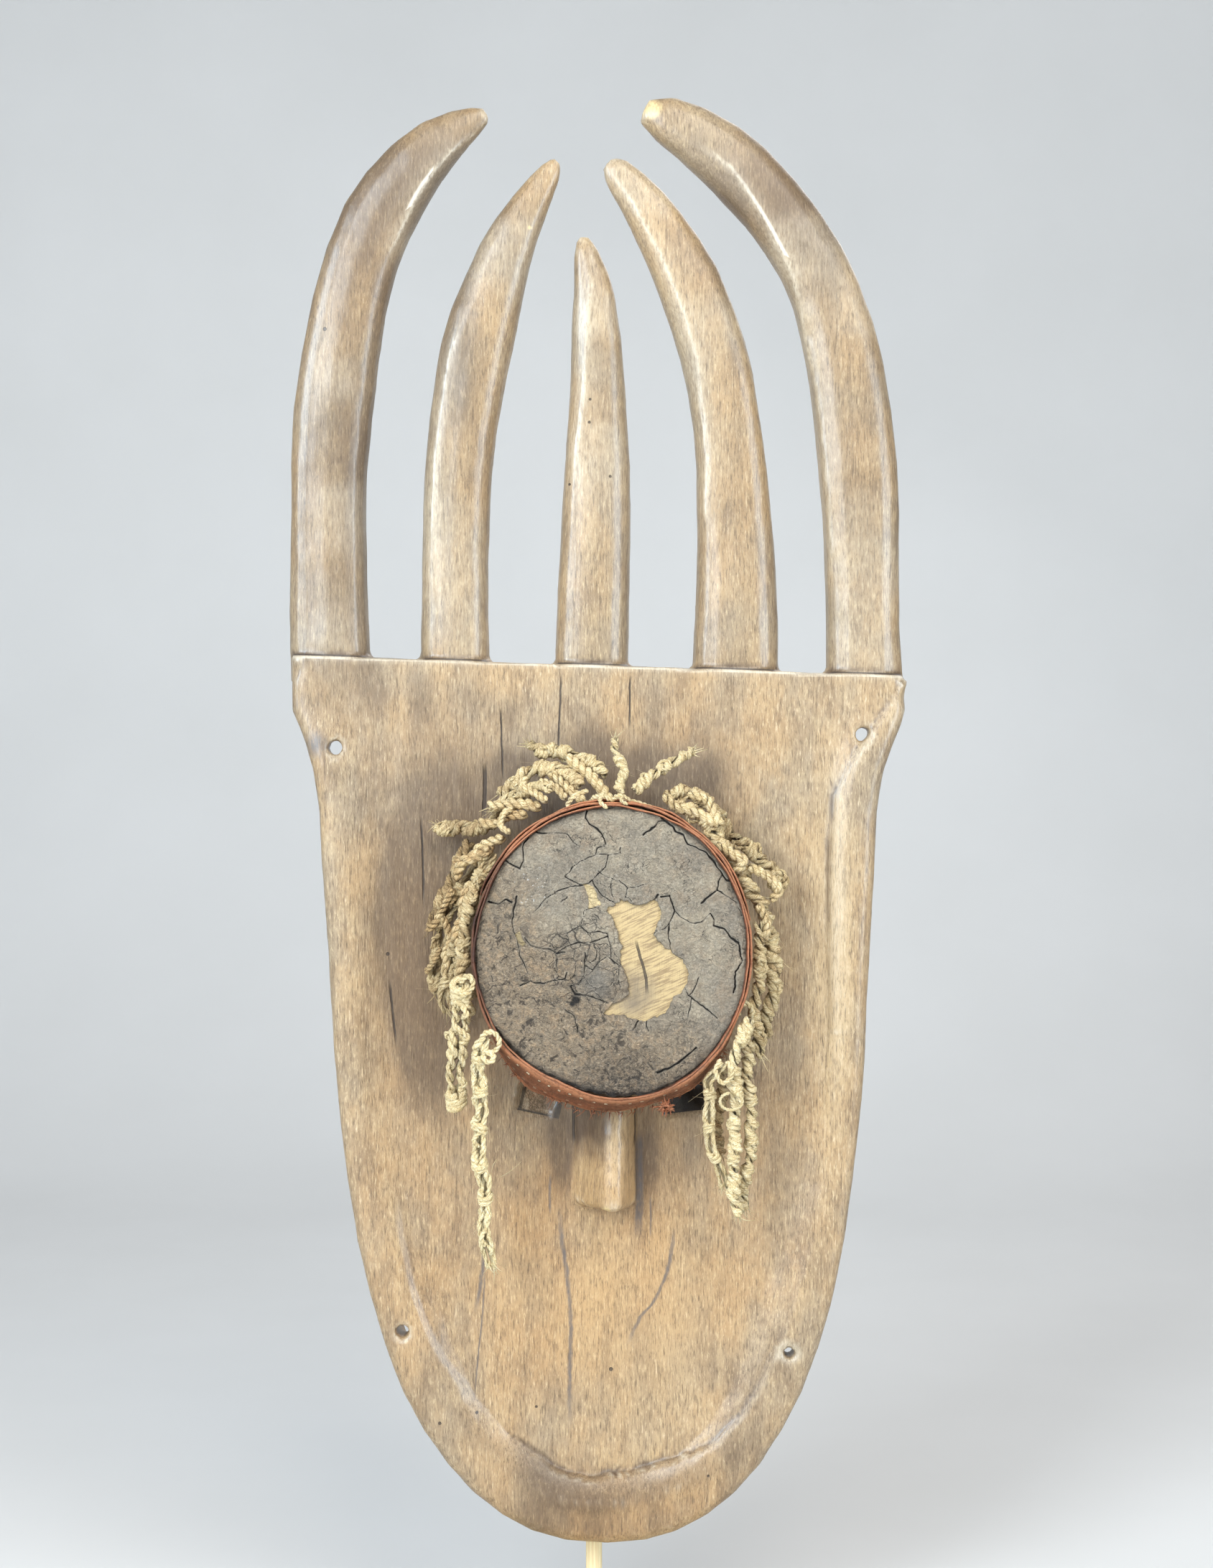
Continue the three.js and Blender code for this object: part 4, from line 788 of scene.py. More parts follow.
def crust_material():
    """Matt grey-brown resin and earth, cracked, and rough and browner at the lower left."""
    s = Shader("resin_crust")
    p = s.place()
    crack, brown, net, flake = (s.value(k) for k in ("crack", "brown", "net", "flake"))
    blotch, mottle, grain = s.noise(p, 0.035, 4, 0.6), s.noise(p, 0.16, 4, 0.65), s.noise(p, 1.3, 3, 0.7)
    grit = s.noise(s.scaled(p, (1, 1, 1.3)), 0.5, 4, 0.8, 0.6)

    # Patterns moved apart by x and z, then scale, detail, roughness and warp
    patterns = [(9, 51, 0.07, 4, 0.65), (3, 80, 0.09, 3, 0.6), (31, 7, 0.2, 3, 0.66, 0.8),
        (40, 17, 0.5, 3, 0.7), (5, 33, 0.11, 4, 0.6, 0.5), (60, 3, 0.06, 3)]
    patterns = [s.noise(s.moved(p, (x, 0, z)), *rest) for x, z, *rest in patterns]
    warm, patches, lump, specks, fold, thin = patterns
    rougher = s.times(brown, s.span(patches, 0.36, 0.6, 0.3, 1))
    earthy = s.add(s.times(brown, 0.85), 0.15)
    color = s.mix(s.span(blotch, 0.38, 0.62), (0.385, 0.325, 0.235), (0.265, 0.225, 0.17))
    color = s.layers(color, [
        (mottle, 0.42, 0.7, 0, 0.4, (0.43, 0.385, 0.305)),
        (warm, 0.5, 0.66, 0, 0.5, (0.3, 0.225, 0.15)),
        (mottle, 0.28, 0.42, 0.45, 0, (0.15, 0.128, 0.104)),
        (mottle, 0.3, 0.6, 0.5, 0.95, (0.52, 0.395, 0.26), brown),
        (grit, 0.5, 0.64, 0, 0.9, (0.7, 0.55, 0.39), rougher),
        (grit, 0.33, 0.44, 0.9, 0, (0.045, 0.03, 0.02), rougher),
        (grit, 0.3, 0.4, 0.4, 0, (0.085, 0.07, 0.055)),
        (grain, 0.55, 0.7, 0, 0.4, (0.55, 0.49, 0.4)),
        (lump, 0.36, 0.46, 0.85, 0, (0.07, 0.05, 0.034), earthy),
        (lump, 0.52, 0.64, 0, 0.75, (0.66, 0.47, 0.29), earthy),
        (blotch, 0.35, 0.6, 0.3, 0.8, (0.33, 0.3, 0.25), s.spot(p, -2, 437, 3, 12)),
        (grit, 0.4, 0.56, 0.85, 0.3, (0.06, 0.047, 0.036), s.spot(p, 14, 366, 14, 30)),
    ])
    pits = s.spots(p, [(-12.5, 427, 1.6, 1.8), (-14.5, 424.6, 0.9, 1.6)])
    color = s.mix(s.times(pits, 0.95), color, (0.012, 0.009, 0.007))
    near = s.math("ADD", s.spot(p, -37, 492, 3, 15), 0.12, clamp=True)
    color = s.layers(color, [(specks, 0.62, 0.7, 0, 1, (0.85, 0.85, 0.82), near)])

    # A net of fine cracks, hair cracks and creases, between the cracks that are cut into the mesh
    shaken = s.node("TexNoise", {"Vector": p, "Scale": 0.2, "Detail": 3.0}).outputs["Color"]
    bent = s.moved(p, s.scaled(shaken, (7, 7, 7)))
    edge = s.node("TexVoronoi", {"Vector": s.scaled(bent, (1, 0, 1)), "Scale": 0.1},
        feature="DISTANCE_TO_EDGE", voronoi_dimensions="3D").outputs["Distance"]
    fine = s.times(s.span(edge, 0.004, 0.024, 1.0, 0.0), s.span(net, 0.15, 0.75, 0.0, 0.85))
    hair = s.times(s.span(s.off(fold, 0.5), 0.001, 0.009, 1.0, 0.0), s.span(thin, 0.47, 0.6, 0, 0.75))
    wrinkle = s.noise(s.scaled(p, (1, 1, 1.5)), 0.4, 4, 0.68, 0.8)
    creased = s.times(s.span(s.off(wrinkle, 0.5), 0.0, 0.035, 1.0, 0.0), s.add(s.times(brown, 0.4), 0.14))
    line = s.largest([s.span(crack, 0.05, 0.28, 1.0, 0.0), fine, hair])
    straw = s.span(s.noise(s.scaled(p, (0.25, 1, 1)), 0.9, 3), 0.45, 0.65)
    straw = s.mix(straw, (0.68, 0.54, 0.3), (0.45, 0.33, 0.17))
    color = s.mix(creased, color, (0.07, 0.055, 0.045))
    # Painted shadow along the crust's edge, then paler crust beside the cracks
    color = s.layers(color, [
        (mottle, 0.3, 0.6, 0.6, 0.95, (0.05, 0.04, 0.032), s.value("rim_shadow")),
        (crack, 0.25, 1.2, 0.4, 0.0, (0.5, 0.45, 0.37)),
    ])
    color = s.mix(s.times(line, 0.96), color, (0.014, 0.011, 0.009))
    color = s.layers(color, [(flake, -0.25, 0.15, 1.0, 0.0, straw)])
    tall = s.total((grain, 0.5), (mottle, 1.2), (grit, s.add(s.times(brown, 2.4), 0.5)),
        (lump, s.times(earthy, 2.6)))
    tall = s.math("SUBTRACT", tall, s.add(s.times(line, 1.6), creased))
    return s.finish(color, s.span(mottle, 0.3, 0.7, 0.62, 0.85), tall, 0.0018, Specular_IOR_Level=0.4)


def leather_material():
    """Red-brown hide, worn pale along its edges, with pale stitches and painted shade on its left."""
    s = Shader("red_leather")
    p = s.place()
    worn, arc, down = s.value("worn"), s.value("arc"), s.value("down")
    dash = s.span(s.off(s.math("FRACT", s.math("DIVIDE", arc, 7.4)), 0.5), 0.1, 0.17, 1.0, 0.0)
    dash = s.times(dash, s.span(s.noise(p, 0.12, 2), 0.42, 0.52))
    rows = s.largest([s.span(s.off(down, 0.27), 0.025, 0.055, 1.0, 0.0),
        s.span(s.off(down, 0.7), 0.02, 0.045, 0.25, 0.0)])
    stitch = s.times(dash, rows, s.value("stitch"))
    crease = s.noise(s.scaled(p, (1, 0.3, 1)), 0.5, 4, 0.65)
    band = s.node("CombineXYZ", {0: arc, 1: down}).outputs[0]
    streak = s.noise(s.scaled(band, (0.05, 4.5, 1)), 1.0, 4, 0.65)
    middle = s.times(s.span(down, 0.12, 0.3), s.span(down, 0.6, 0.85, 1.0, 0.0))
    color = s.mix(s.span(s.noise(p, 0.09, 4, 0.6), 0.38, 0.64), (0.13, 0.036, 0.016), (0.3, 0.095, 0.04))
    color = s.layers(color, [
        (crease, 0.5, 0.64, 0, 0.85, (0.055, 0.02, 0.013)),
        (streak, 0.5, 0.6, 0, 0.85, (0.05, 0.02, 0.013)),
        (streak, 0.34, 0.44, 0.6, 0, (0.42, 0.2, 0.11)),
    ])
    color = s.mix(s.times(middle, 0.45), color, (0.075, 0.024, 0.012))
    color = s.layers(color, [(crease, 0.3, 0.55, 0.3, 0.85, (0.54, 0.24, 0.12), worn)])
    # Painted shade on the band's left side
    color = s.mix(s.value("gloom"), color, (0.035, 0.014, 0.009))
    color = s.mix(s.times(stitch, 0.85), color, (0.72, 0.6, 0.42))
    tall = s.add(crease, s.times(stitch, 1.2))
    return s.finish(color, s.span(crease, 0.3, 0.7, 0.42, 0.62), tall, 0.0011, Specular_IOR_Level=0.25)


def bast_material():
    """Dry straw-coloured bast fibre; dirt greys it and settles between the fibres, and painted shade
    darkens what lies deep in a cord or behind it.
    """
    s = Shader("bast_cord")
    fibre = s.noise(s.scaled(s.value("strand", "Vector"), (1, 1, 0.1)), 1.5, 4, 0.7)
    patch = s.noise(s.place(), 0.13, 3, 0.6)
    dirt = s.math("MULTIPLY", s.value("tone"), s.span(patch, 0.3, 0.65, 0.7, 1.6), clamp=True)
    color = s.mix(s.span(fibre, 0.36, 0.54), (0.58, 0.4, 0.17), (0.95, 0.8, 0.45))
    color = s.layers(color, [(fibre, 0.5, 0.64, 0, 0.9, (1.0, 0.97, 0.78))])
    grey = s.mix(s.span(fibre, 0.36, 0.6), (0.17, 0.1, 0.044), (0.66, 0.46, 0.225))
    color = s.mix(dirt, color, grey)
    color = s.layers(color, [(fibre, 0.26, 0.4, 0.85, 0, (0.15, 0.09, 0.04))])
    # Painted shade deep in the cords and behind them
    color = s.mix(s.times(s.value("cord_shade"), 0.9), color, (0.035, 0.02, 0.01))
    return s.finish(color, 0.82, fibre, 0.0009, Specular_IOR_Level=0.3)


def pine_material():
    """Planed pale pine: long soft growth lines with a few darker ones."""
    s = Shader("pale_pine")
    along = s.value("grain", "Vector")
    ring = s.noise(s.scaled(along, (1, 1, 0.02)), 0.55, 3, 0.55, 0.4)
    pore = s.noise(s.scaled(along, (1, 1, 0.08)), 2.4, 3, 0.6)
    color = s.mix(s.span(ring, 0.36, 0.64), (0.92, 0.82, 0.54), (0.8, 0.64, 0.37))
    color = s.layers(color, [
        (pore, 0.5, 0.75, 0, 0.35, (0.6, 0.44, 0.23)),
        (s.noise(s.place(), 0.02, 2), 0.4, 0.7, 0, 0.25, (0.9, 0.82, 0.62)),
    ])
    return s.finish(color, s.span(pore, 0.3, 0.7, 0.46, 0.62), s.add(ring, s.times(pore, 0.5)), 0.0002)


def crust_depth(x, z):
    """How far in front of the plate the smooth front of the crust is."""
    s = ((x - BOSS_X) / BOSS_RX) ** 2 + ((z - BOSS_Z) / BOSS_RZ) ** 2
    return CRUST_EDGE + CRUST_DOME * np.maximum(1 - s, 0) ** 0.85


def read_mesh(mesh):
    """A mesh's points in millimetres and their normals."""
    both = np.empty((2, len(mesh.vertices) * 3), np.float32)
    for values, key in zip(both, ("co", "normal")):
        mesh.vertices.foreach_get(key, values)
    at, normal = both.reshape(2, -1, 3).astype(float)
    return at / MM, normal


def copied(name, node):
    return placed(name, bpy.data.objects[node].data.copy())


def baked(obj):
    """Applies an object's modifiers, and gives its new mesh."""
    shape = bpy.data.meshes.new_from_object(obj.evaluated_get(bpy.context.evaluated_depsgraph_get()))
    obj.modifiers.clear()
    obj.vertex_groups.clear()
    obj.data = shape
    return shape


def fine_mesh(obj):
    """Remeshes the carving, and thins out its plain back."""
    remesh = obj.modifiers.new("remesh", "REMESH")
    remesh.mode, remesh.voxel_size, remesh.adaptivity = "VOXEL", VOXEL * MM, 0
    shape = baked(obj)
    at, normal = read_mesh(shape)
    edge = np.abs(at[:, 2] - board_top(at[:, 0])) < 16
    back = (at[:, 1] > 6) & (normal[:, 1] > 0.3) & ~edge
    obj.vertex_groups.new(name="back").add(np.flatnonzero(back).tolist(), 1.0, "REPLACE")
    thin = obj.modifiers.new("thin", "DECIMATE")
    thin.ratio, thin.vertex_group = min(1, FACES_KEPT / len(shape.polygons)), "back"
    return baked(obj)


def neighbour_mean(shape):
    """A function that gives the mean of each point's neighbours."""
    ends = np.empty(len(shape.edges) * 2, np.int64)
    shape.edges.foreach_get("vertices", ends)
    ends = ends.reshape(-1, 2).T

    def around(values):
        total, many = np.zeros_like(values), np.zeros(len(values))
        for a, b in (ends, ends[::-1]):
            for k in range(3):
                total[:, k] += np.bincount(a, values[b, k], len(values))
            many += np.bincount(a, minlength=len(values))
        return total / np.maximum(many, 1)[:, None]

    return around


def carved_wood(material):
    """The whole carving as one fine mesh, with its tool marks, worn edges, dirt, and painted light and
    shade.
    """
    obj = copied("mask_wood", "carved_mask")
    shape = fine_mesh(obj)
    around = neighbour_mean(shape)
    at, normal = read_mesh(shape)
    x, y, z = at.T
    top = board_top(x)
    front = smooth(14, 6, y) * (normal[:, 1] < 0.35)
    plate = front * smooth(top + 1.5, top - 1.5, z) * (y > -16)
    horn = smooth(top - 1, top + 3, z)
    nose = (y < -3) * (z < NOSE_TOP_Z) * (z > NOSE_FOOT_Z) * (np.abs(x - NOSE_X) < 26)
    for _ in range(5):
        at += (nose * (y < -11) * 0.6)[:, None] * (around(at) - at)

    # The carver's hand: slow waves, small facets and shallow upright strokes
    rise = waves(at, (0.45, 46, 1), (0.2, 15, 2), (0.1, 6, 3))
    rise += plate * waves(at, (0.16, (7, 9, 70), 4), (0.08, (3, 9, 24), 5))
    rise += horn * waves(at, (0.4, (16, 16, 60), 6), (0.12, (6, 6, 26), 7))
    spine = plate * 0
    for line in HORN_CRESTS:
        crest = [(a, b, 0.25 if (a, b) in (line[0], line[-1]) else 1) for a, b in line]
        gone, share, _ = to_lines(x, z, [crest])
        spine = np.maximum(spine, share * np.exp(-gone / 5.5))
    spine = spine * (normal[:, 1] < 0.3) * horn
    rise += 1.2 * spine ** 2 + 0.9 * spine
    nose_crest = nose * np.exp(-np.abs(x - 9.5 - noise(at, 12, 49)) / 3.2)
    rise += 0.8 * nose_crest + nose * 0.3 * noise(at, 9, 50)
    hollow = (y > 10) * (normal[:, 1] > 0.2)
    rise += hollow * waves(at, (0.5, (13, 13, 30), 8), (0.2, 7, 9))

    # The rim rises from a line round the field; it is ragged and sharp at the chin
    ragged = 1.3 * noise(at, (2.6, 30, 9), 10) * smooth(165, 140, z) + 0.7 * noise(at, 15, 11)
    gone, sharp, side = to_lines(x, z, [RIM_FOOT])
    gone = gone * side + ragged
    loose = 1.4 * smooth(150, 200, z)
    step = smooth(-1.4 - loose, 4.2 + loose, gone) * smooth(26, 8, gone)
    rise += plate * sharp * ((1.25 + 0.8 * (z > 400) * (x > 100)) * step - 0.4 * bell(gone + 0.5, 1.6))
    chin = smooth(185, 140, z)
    crease = plate * np.minimum(sharp, 1.2) * bell(gone, 1.5 + 0.7 * noise(at, 14, 12))
    crease *= (0.3 + 0.5 * chin) * (0.7 + 0.5 * noise(at, 9, 41))
    soot = plate * smooth(0, 1, sharp) * smooth(-11, -1, gone) * smooth(3, 0, gone)
    soot *= smooth(0.9, 1.3, sharp) * (0.5 + 0.5 * noise(at, 12, 13))

    # Worn corners and nicks, the seam under the horns, and their tips
    for cx, cy, cz, r, deep in NICKS:
        rise -= deep * bell(np.linalg.norm(at - [cx, cy, cz], axis=1), r)
    seam = bell(z - top - 1.4, 1.6) * (normal[:, 1] < -0.2) * (y < 12)
    rise -= 0.9 * seam
    lip = bell(z - top + 1.2, 1.6) * front
    moved = at + normal * rise[:, None]
    for cx, cz, *pull in HORN_TIPS:
        moved[:, [0, 2]] += smooth(30, 0, np.hypot(x - cx, z - cz))[:, None] * pull

    # Under the flaked patch the wood comes up to just behind the crust
    share = smooth(9, 3, inside(x, z, BARE_PATCH)) * (y < -52) * (normal[:, 1] < -0.6)
    raised = PATCH_DEPTH - crust_depth(x, z) + 0.12 * noise(at, (30, 9, 9), 14)
    moved[:, 1] = moved[:, 1] * (1 - share) + raised * share
    shape.vertices.foreach_set("co", (moved * MM).ravel())

    # Edges that stick out are worn pale. The board's top edge, the horn crests and the nose's ridge are
    # made paler as wear and painted highlight together, and the stripe at x 146 on the right rim is a
    # painted sheen.
    bulge = -np.einsum("ij,ij->i", around(moved) - moved, normal)
    wear_and_sheen = smooth(0.12, 0.5, bulge) + 0.45 * lip + 0.5 * spine
    wear_and_sheen += (0.25 * nose_crest * smooth(-0.4, 0.3, noise(at, (5, 9, 9), 51))
        + 0.6 * bell(x - 146, 6) * bell(z - 480, 90))
    wear_and_sheen += 0.3 * horn * smooth(0, 0.6, noise(at, 40, 15))
    # Painted shade and shadow: under the boss, the boss's shadow with a stain on the nose's upper left
    # flank, a dark line down the nose's left edge, and the seam under the horns. Hollows and the rim's
    # crease are darker as dirt and painted shade together, and a stain lies along the rim's foot.
    under = (np.abs(x - 8) < 70) * smooth(352, 374, z) * (z < 400) * (y < 0)
    stain_and_shadow = nose * smooth(318, 342, z + 4 * noise(at, 7, 52)) * smooth(8.5, 3, x + 2 * noise(at, 8, 53))
    grime_and_shade = 0.95 * stain_and_shadow + 0.35 * nose * bell(x + 13, 2.5) * smooth(306, 330, z)
    grime_and_shade = grime_and_shade + smooth(0.12, 0.45, -bulge) * 0.65 + 0.9 * crease + 0.4 * soot + 0.8 * seam + 0.4 * under

    # Broad light and dark areas, and light upright tool marks above the chin's crease
    shade = waves(at, (0.28, (30, 38, 120), 17), (0.15, (12, 16, 34), 18))
    uneven = 1 + 0.4 * noise(at, (14, 22, 80), 16)
    for cx, cz, rx, rz, strength in TONES:
        shade += strength * blob(x, z, cx, cz, rx, rz) * uneven
    # A painted sheen: a paler band along the rim's slope
    shade -= plate * np.minimum(sharp, 1) * 0.45 * bell(gone - 5, 4) * smooth(190, 260, z)
    # Painted shade on the chin's rim just below its crease, where the rim faces down
    shade += plate * chin * 0.45 * smooth(-1, 4, gone) * smooth(26, 12, gone)
    shade -= plate * chin * 0.8 * bell(gone + 5, 4) * smooth(0, 0.5, noise(at, (1.8, 30, 14), 42))
    # Grime and painted shade round the boss, on its left and above it
    across, up = (x - BOSS_X) / BOSS_RX, (z - BOSS_Z) / BOSS_RZ
    out = np.hypot(across, up)
    aura = plate * smooth(1.7, 1.2, out + 0.16 * noise(at, 24, 54))
    aura = aura * (0.75 + 0.5 * noise(at, (9, 9, 26), 55))
    shade += 0.75 * aura * smooth(0.85, 0.35, across / out) * smooth(345, 400, z)
    # The boss's painted shadow with a stain on the nose, painted shade on the boss's wood in front of the
    # plate, and the nose made paler
    shade += stain_and_shadow + 0.5 * (y < -16) * smooth(-16, -40, y) - 0.8 * nose
    warm = sum(k * blob(x, z, *where) for *where, k in WARM)
    values = {"grime_and_shade": grime_and_shade, "wear_and_sheen": wear_and_sheen, "shade": shade, "bare": share, "horn": horn, "warm": warm}
    for key, v in values.items():
        add_value(shape, key, np.clip(v, -1 if key == "shade" else 0, 1))
    shade_smooth(shape)
    declare(obj, material, "carved_mask")


def resin_crust(material):
    """The crust on the boss: a cracked shell with ragged edges and a hole where it has flaked off."""
    count = CRUST_POINTS
    u, v = np.meshgrid(*[np.linspace(-1, 1, count)] * 2)
    cx, cz = u * np.sqrt(1 - v * v / 2), v * np.sqrt(1 - u * u / 2)
    turn = np.arctan2(cz, cx)
    rim_at = flat(np.cos(turn), np.sin(turn)) * 20
    ragged = 1 + 0.006 * noise(rim_at, 3, 20)
    ragged -= 0.012 * np.maximum(0, noise(rim_at, 1.1, 21))
    ragged *= 0.997 - 0.055 * bell(np.degrees(turn) + 113, 26)
    reach = np.hypot(cx, cz)
    grow = 1 + (ragged - 1) * smooth(0.7, 1, reach)
    x, z = (BOSS_X + BOSS_RX * cx * grow).ravel(), (BOSS_Z + BOSS_RZ * cz * grow).ravel()
    reach, u, v = reach.ravel(), u.ravel(), v.ravel()
    at = flat(x, z)
    shaken = [w + 0.6 * noise(at, 2.2, 22 + k) + 1.1 * noise(at, 6, 56 + k) for k, w in enumerate((x, z))]

    # Points near the patch's edge are drawn onto it
    patch = inside(*shaken, BARE_PATCH)
    nudge = 0.3
    slope_x = (inside(shaken[0] + nudge, shaken[1], BARE_PATCH) - patch) / nudge
    slope_z = (inside(shaken[0], shaken[1] + nudge, BARE_PATCH) - patch) / nudge
    edge = np.abs(patch) < 0.55 * CRUST_STEP
    x, z = np.where(edge, x - patch * slope_x, x), np.where(edge, z - patch * slope_z, z)
    patch = np.where(edge, 0.0, patch)

    lines = [[(px, pz, w) for px, pz in points] for w, points in CRACKS]
    gone, wide, _ = to_lines(x + 0.45 * noise(at, 2.6, 24), z + 0.45 * noise(at, 2.6, 25), lines)
    faint = 0.1 * smooth(0.8, 0.5, wide) * smooth(0.25, 0.6, noise(at, 7, 43))
    crack = np.maximum(gone - wide * 0.2 * (1 + 0.9 * noise(at, 4, 26)), 0) + faint
    brown = smooth(-6, 46, -(x - 8) * 0.62 - (z - 454) * 0.78 + 14 * noise(at, 26, 27))
    net = blob(x, z, -8, 450, 26, 26) + 0.3 * noise(at, 20, 28)
    small = np.minimum.reduce([inside(*shaken, f) for f in SMALL_FLAKES])

    deep = crust_depth(x, z) + waves(at, (0.9, 26, 29), (0.7, 9, 30), (0.25, 3, 31))
    clods = smooth(-0.3, 0.5, noise(at, 22, 45)) * brown
    deep += brown * waves(at, (0.5, 3.6, 32), (0.35, 1.5, 33), (0.6, 7, 44))
    deep += clods * (0.7 * np.abs(noise(at, 5, 46)) + 0.5 * noise(at, 2.2, 47))
    deep += 0.3 * bell(crack - 1.2, 0.9) * (1 - 0.5 * brown)
    deep -= np.minimum(1.4, 0.3 + wide) * smooth(0.45, 0.0, crack)
    tiles = cells(x + 2.5 * noise(at, 9, 34), z + 2.5 * noise(at, 9, 35), 10, 36)
    deep -= 0.25 * smooth(0.4, 0.1, tiles) * smooth(0.35, 0.75, net)
    deep -= 0.8 * smooth(0.3, -0.3, small)
    for px, pz, r, d in CRUST_DENTS:
        deep -= d * bell(np.hypot(x - px, z - pz), r)
    # Painted shadow round the crust's edge under the leather, strongest at the lower left
    rim_shadow = smooth(0.93, 1.0, reach + 0.015 * noise(at, 8, 48))
    rim_shadow = rim_shadow * (0.55 + 0.45 * smooth(0.3, -0.6, v + 0.6 * u))
    deep = np.where(reach > 0.985, deep - 1.1, deep)
    deep = np.where(patch < OPEN, crust_depth(x, z) - 2.6, deep)
    front = np.stack([x, -deep, z], -1)

    quads = grid(count, count, closed=False)
    quads = quads[(patch[quads] < OPEN).sum(1) < 4]
    index = np.arange(count * count).reshape(count, count)
    border = np.concatenate([index[0, :], index[1:, -1], index[-1, -2::-1], index[-2:0:-1, 0]])
    behind = front[border].copy()
    behind[:, 1] = CRUST_BACK_Y
    k = np.arange(len(border))
    after = (k + 1) % len(k)
    walls = np.stack([border, border[after], len(front) + after, len(front) + k], -1)[:, ::-1]
    values = {"crack": crack, "brown": brown, "net": net, "flake": small, "rim_shadow": rim_shadow}
    chunk = {"verts": np.vstack([front, behind]), "faces": quads.tolist() + walls.tolist(),
        **{key: np.append(v, v[border]) for key, v in values.items()}}
    piece("crust", [chunk], material, "resin_crust")


def leather_strip(front_y, back_y, inner, thick, flare, seed, start=0, end=360, stitches=False):
    """One strip round the boss, thickest at its bottom; inner is its gap outside the crust's edge."""
    count = BAND_POINTS
    whole = end - start >= 360
    turn = np.radians(np.linspace(start, end, count, endpoint=not whole))
    here = (np.degrees(turn) + 540) % 360 - 180
    ring = flat(np.cos(turn) * 85, np.sin(turn) * 85)
    up = np.sin(turn)
    pull = -0.052 * bell(here + 113, 26)
    spread = np.where(up < 0, flare[0] + (flare[1] - flare[0]) * smooth(0.1, 0.95, -up),
        flare[0] + (flare[2] - flare[0]) * np.maximum(up, 0))
    if stitches:
        spread = spread + 2.4 * bell(here + 124, 9) + 2.4 * bell(here + 60, 9)
    wave = waves(ring, (0.7, 17, seed), (0.25, 6, seed + 1)) - 0.7 * smooth(0.7, 1, np.abs(np.cos(turn)))
    lip = front_y + 0.9 * noise(ring, 21, seed + 2) + 0.3 * noise(ring, 5, seed + 3)
    hem = back_y + 0.8 * noise(ring, 12, seed + 4) + 0.7 * noise(ring, 2.2, seed + 5)
    if not whole:
        share = np.linspace(0, 1, count)
        fade = smooth(0, 0.06, share) * smooth(1, 0.94, share)
        lip = lip * fade + (lip + 8) * (1 - fade)
    rows, worn = [], []
    for down, out in LEATHER_OUTLINE:
        y = lip + (hem - lip) * down
        reach = inner + wave + out * thick + spread * down - 3.95 * down * (hem - lip) / 26
        reach = reach + 0.5 * down * noise(np.stack([ring[:, 0], y, ring[:, 2]], -1), 4.5, seed + 6)
        inward = 1 + pull * max(0, 1 - down * 1.15)
        rows.append(np.stack([BOSS_X + (BAND_RX + reach) * inward * np.cos(turn), y,
            BOSS_Z + (BAND_RZ + reach) * inward * np.sin(turn)], -1))
        worn.append(np.full(count, 1.0 if out > 0.5 and (down < 0.1 or down > 0.9) else 0.15))
    n = len(LEATHER_OUTLINE)
    # Painted shade on the strip's left side
    gloom = 0.85 * smooth(0.72, 0.97, np.cos(turn - math.radians(172))) + 0.2 * noise(ring, 9, seed + 9)
    return {
        "verts": np.stack(rows, 1).reshape(-1, 3),
        "faces": grid(count, n, joined=whole).tolist(),
        "worn": np.stack(worn, 1).ravel(),
        "arc": np.repeat(turn * 88 + 1.2 * noise(ring, 11, seed + 8), n),
        "down": np.tile([d for d, _ in LEATHER_OUTLINE], count),
        "stitch": np.full(count * n, float(stitches)),
        "gloom": np.repeat(gloom, n),
    }


def hair(start, way, length, radius, bend, sides=3, steps=6):
    """A stray fibre: a thin tube from a point, bending as it goes."""
    t = np.linspace(0, 1, steps)[:, None]
    path = start + way * length * t + bend * length * t**2
    return tube(path, radius * (1 - 0.7 * t[:, 0]), sides)


def leather_band(material):
    """Three strips of hide round the boss, the fray along the lower edge and a small knot."""
    strips = [
        leather_strip(-64.2, -37, 1.2, 1.7, (1.6, 11.5, 2.4), 40, stitches=True),
        leather_strip(-65.6, -55, 0.0, 1.1, (0.4, 1.6, 0.5), 50),
        leather_strip(-62.2, -48, 3.3, 1.2, (0.6, 1.0, 0.8), 60, 12, 158),
    ]
    fray = []
    for _ in range(180):
        turn = math.radians(rng.uniform(214, 322))
        c, s = math.cos(turn), math.sin(turn)
        out = BAND_RZ + rng.uniform(9.8, 12.4) * (0.55 + 0.45 * math.sin(-turn) ** 2)
        root = np.array([BOSS_X + (out - 5.5) * c, rng.uniform(-42, -38), BOSS_Z + out * s])
        way = unit(np.array([c + rng.normal(0, 0.7), rng.normal(-0.3, 0.5), s + rng.normal(0, 0.4)]))
        length, radius = rng.uniform(1.5, 4), rng.uniform(0.2, 0.5)
        fray.append(hair(root - way, way, length, radius, rng.normal(0, 0.4, 3)))
    for _ in range(90):
        way = unit(rng.normal(0, 1, 3) * [1, 0.6, 0.8])
        root = np.array(LEATHER_KNOT) + way * 1.6
        fray.append(hair(root, way, rng.uniform(1.2, 3), rng.uniform(0.5, 0.95), rng.normal(0, 0.6, 3), 4))
    for f in fray:
        points = len(f["verts"])
        f["worn"] = np.full(points, rng.uniform(0.1, 0.9))
        f.update((key, np.zeros(points)) for key in ("arc", "down", "stitch", "gloom"))
    piece("leather_strips", strips + fray, material, "leather_band")


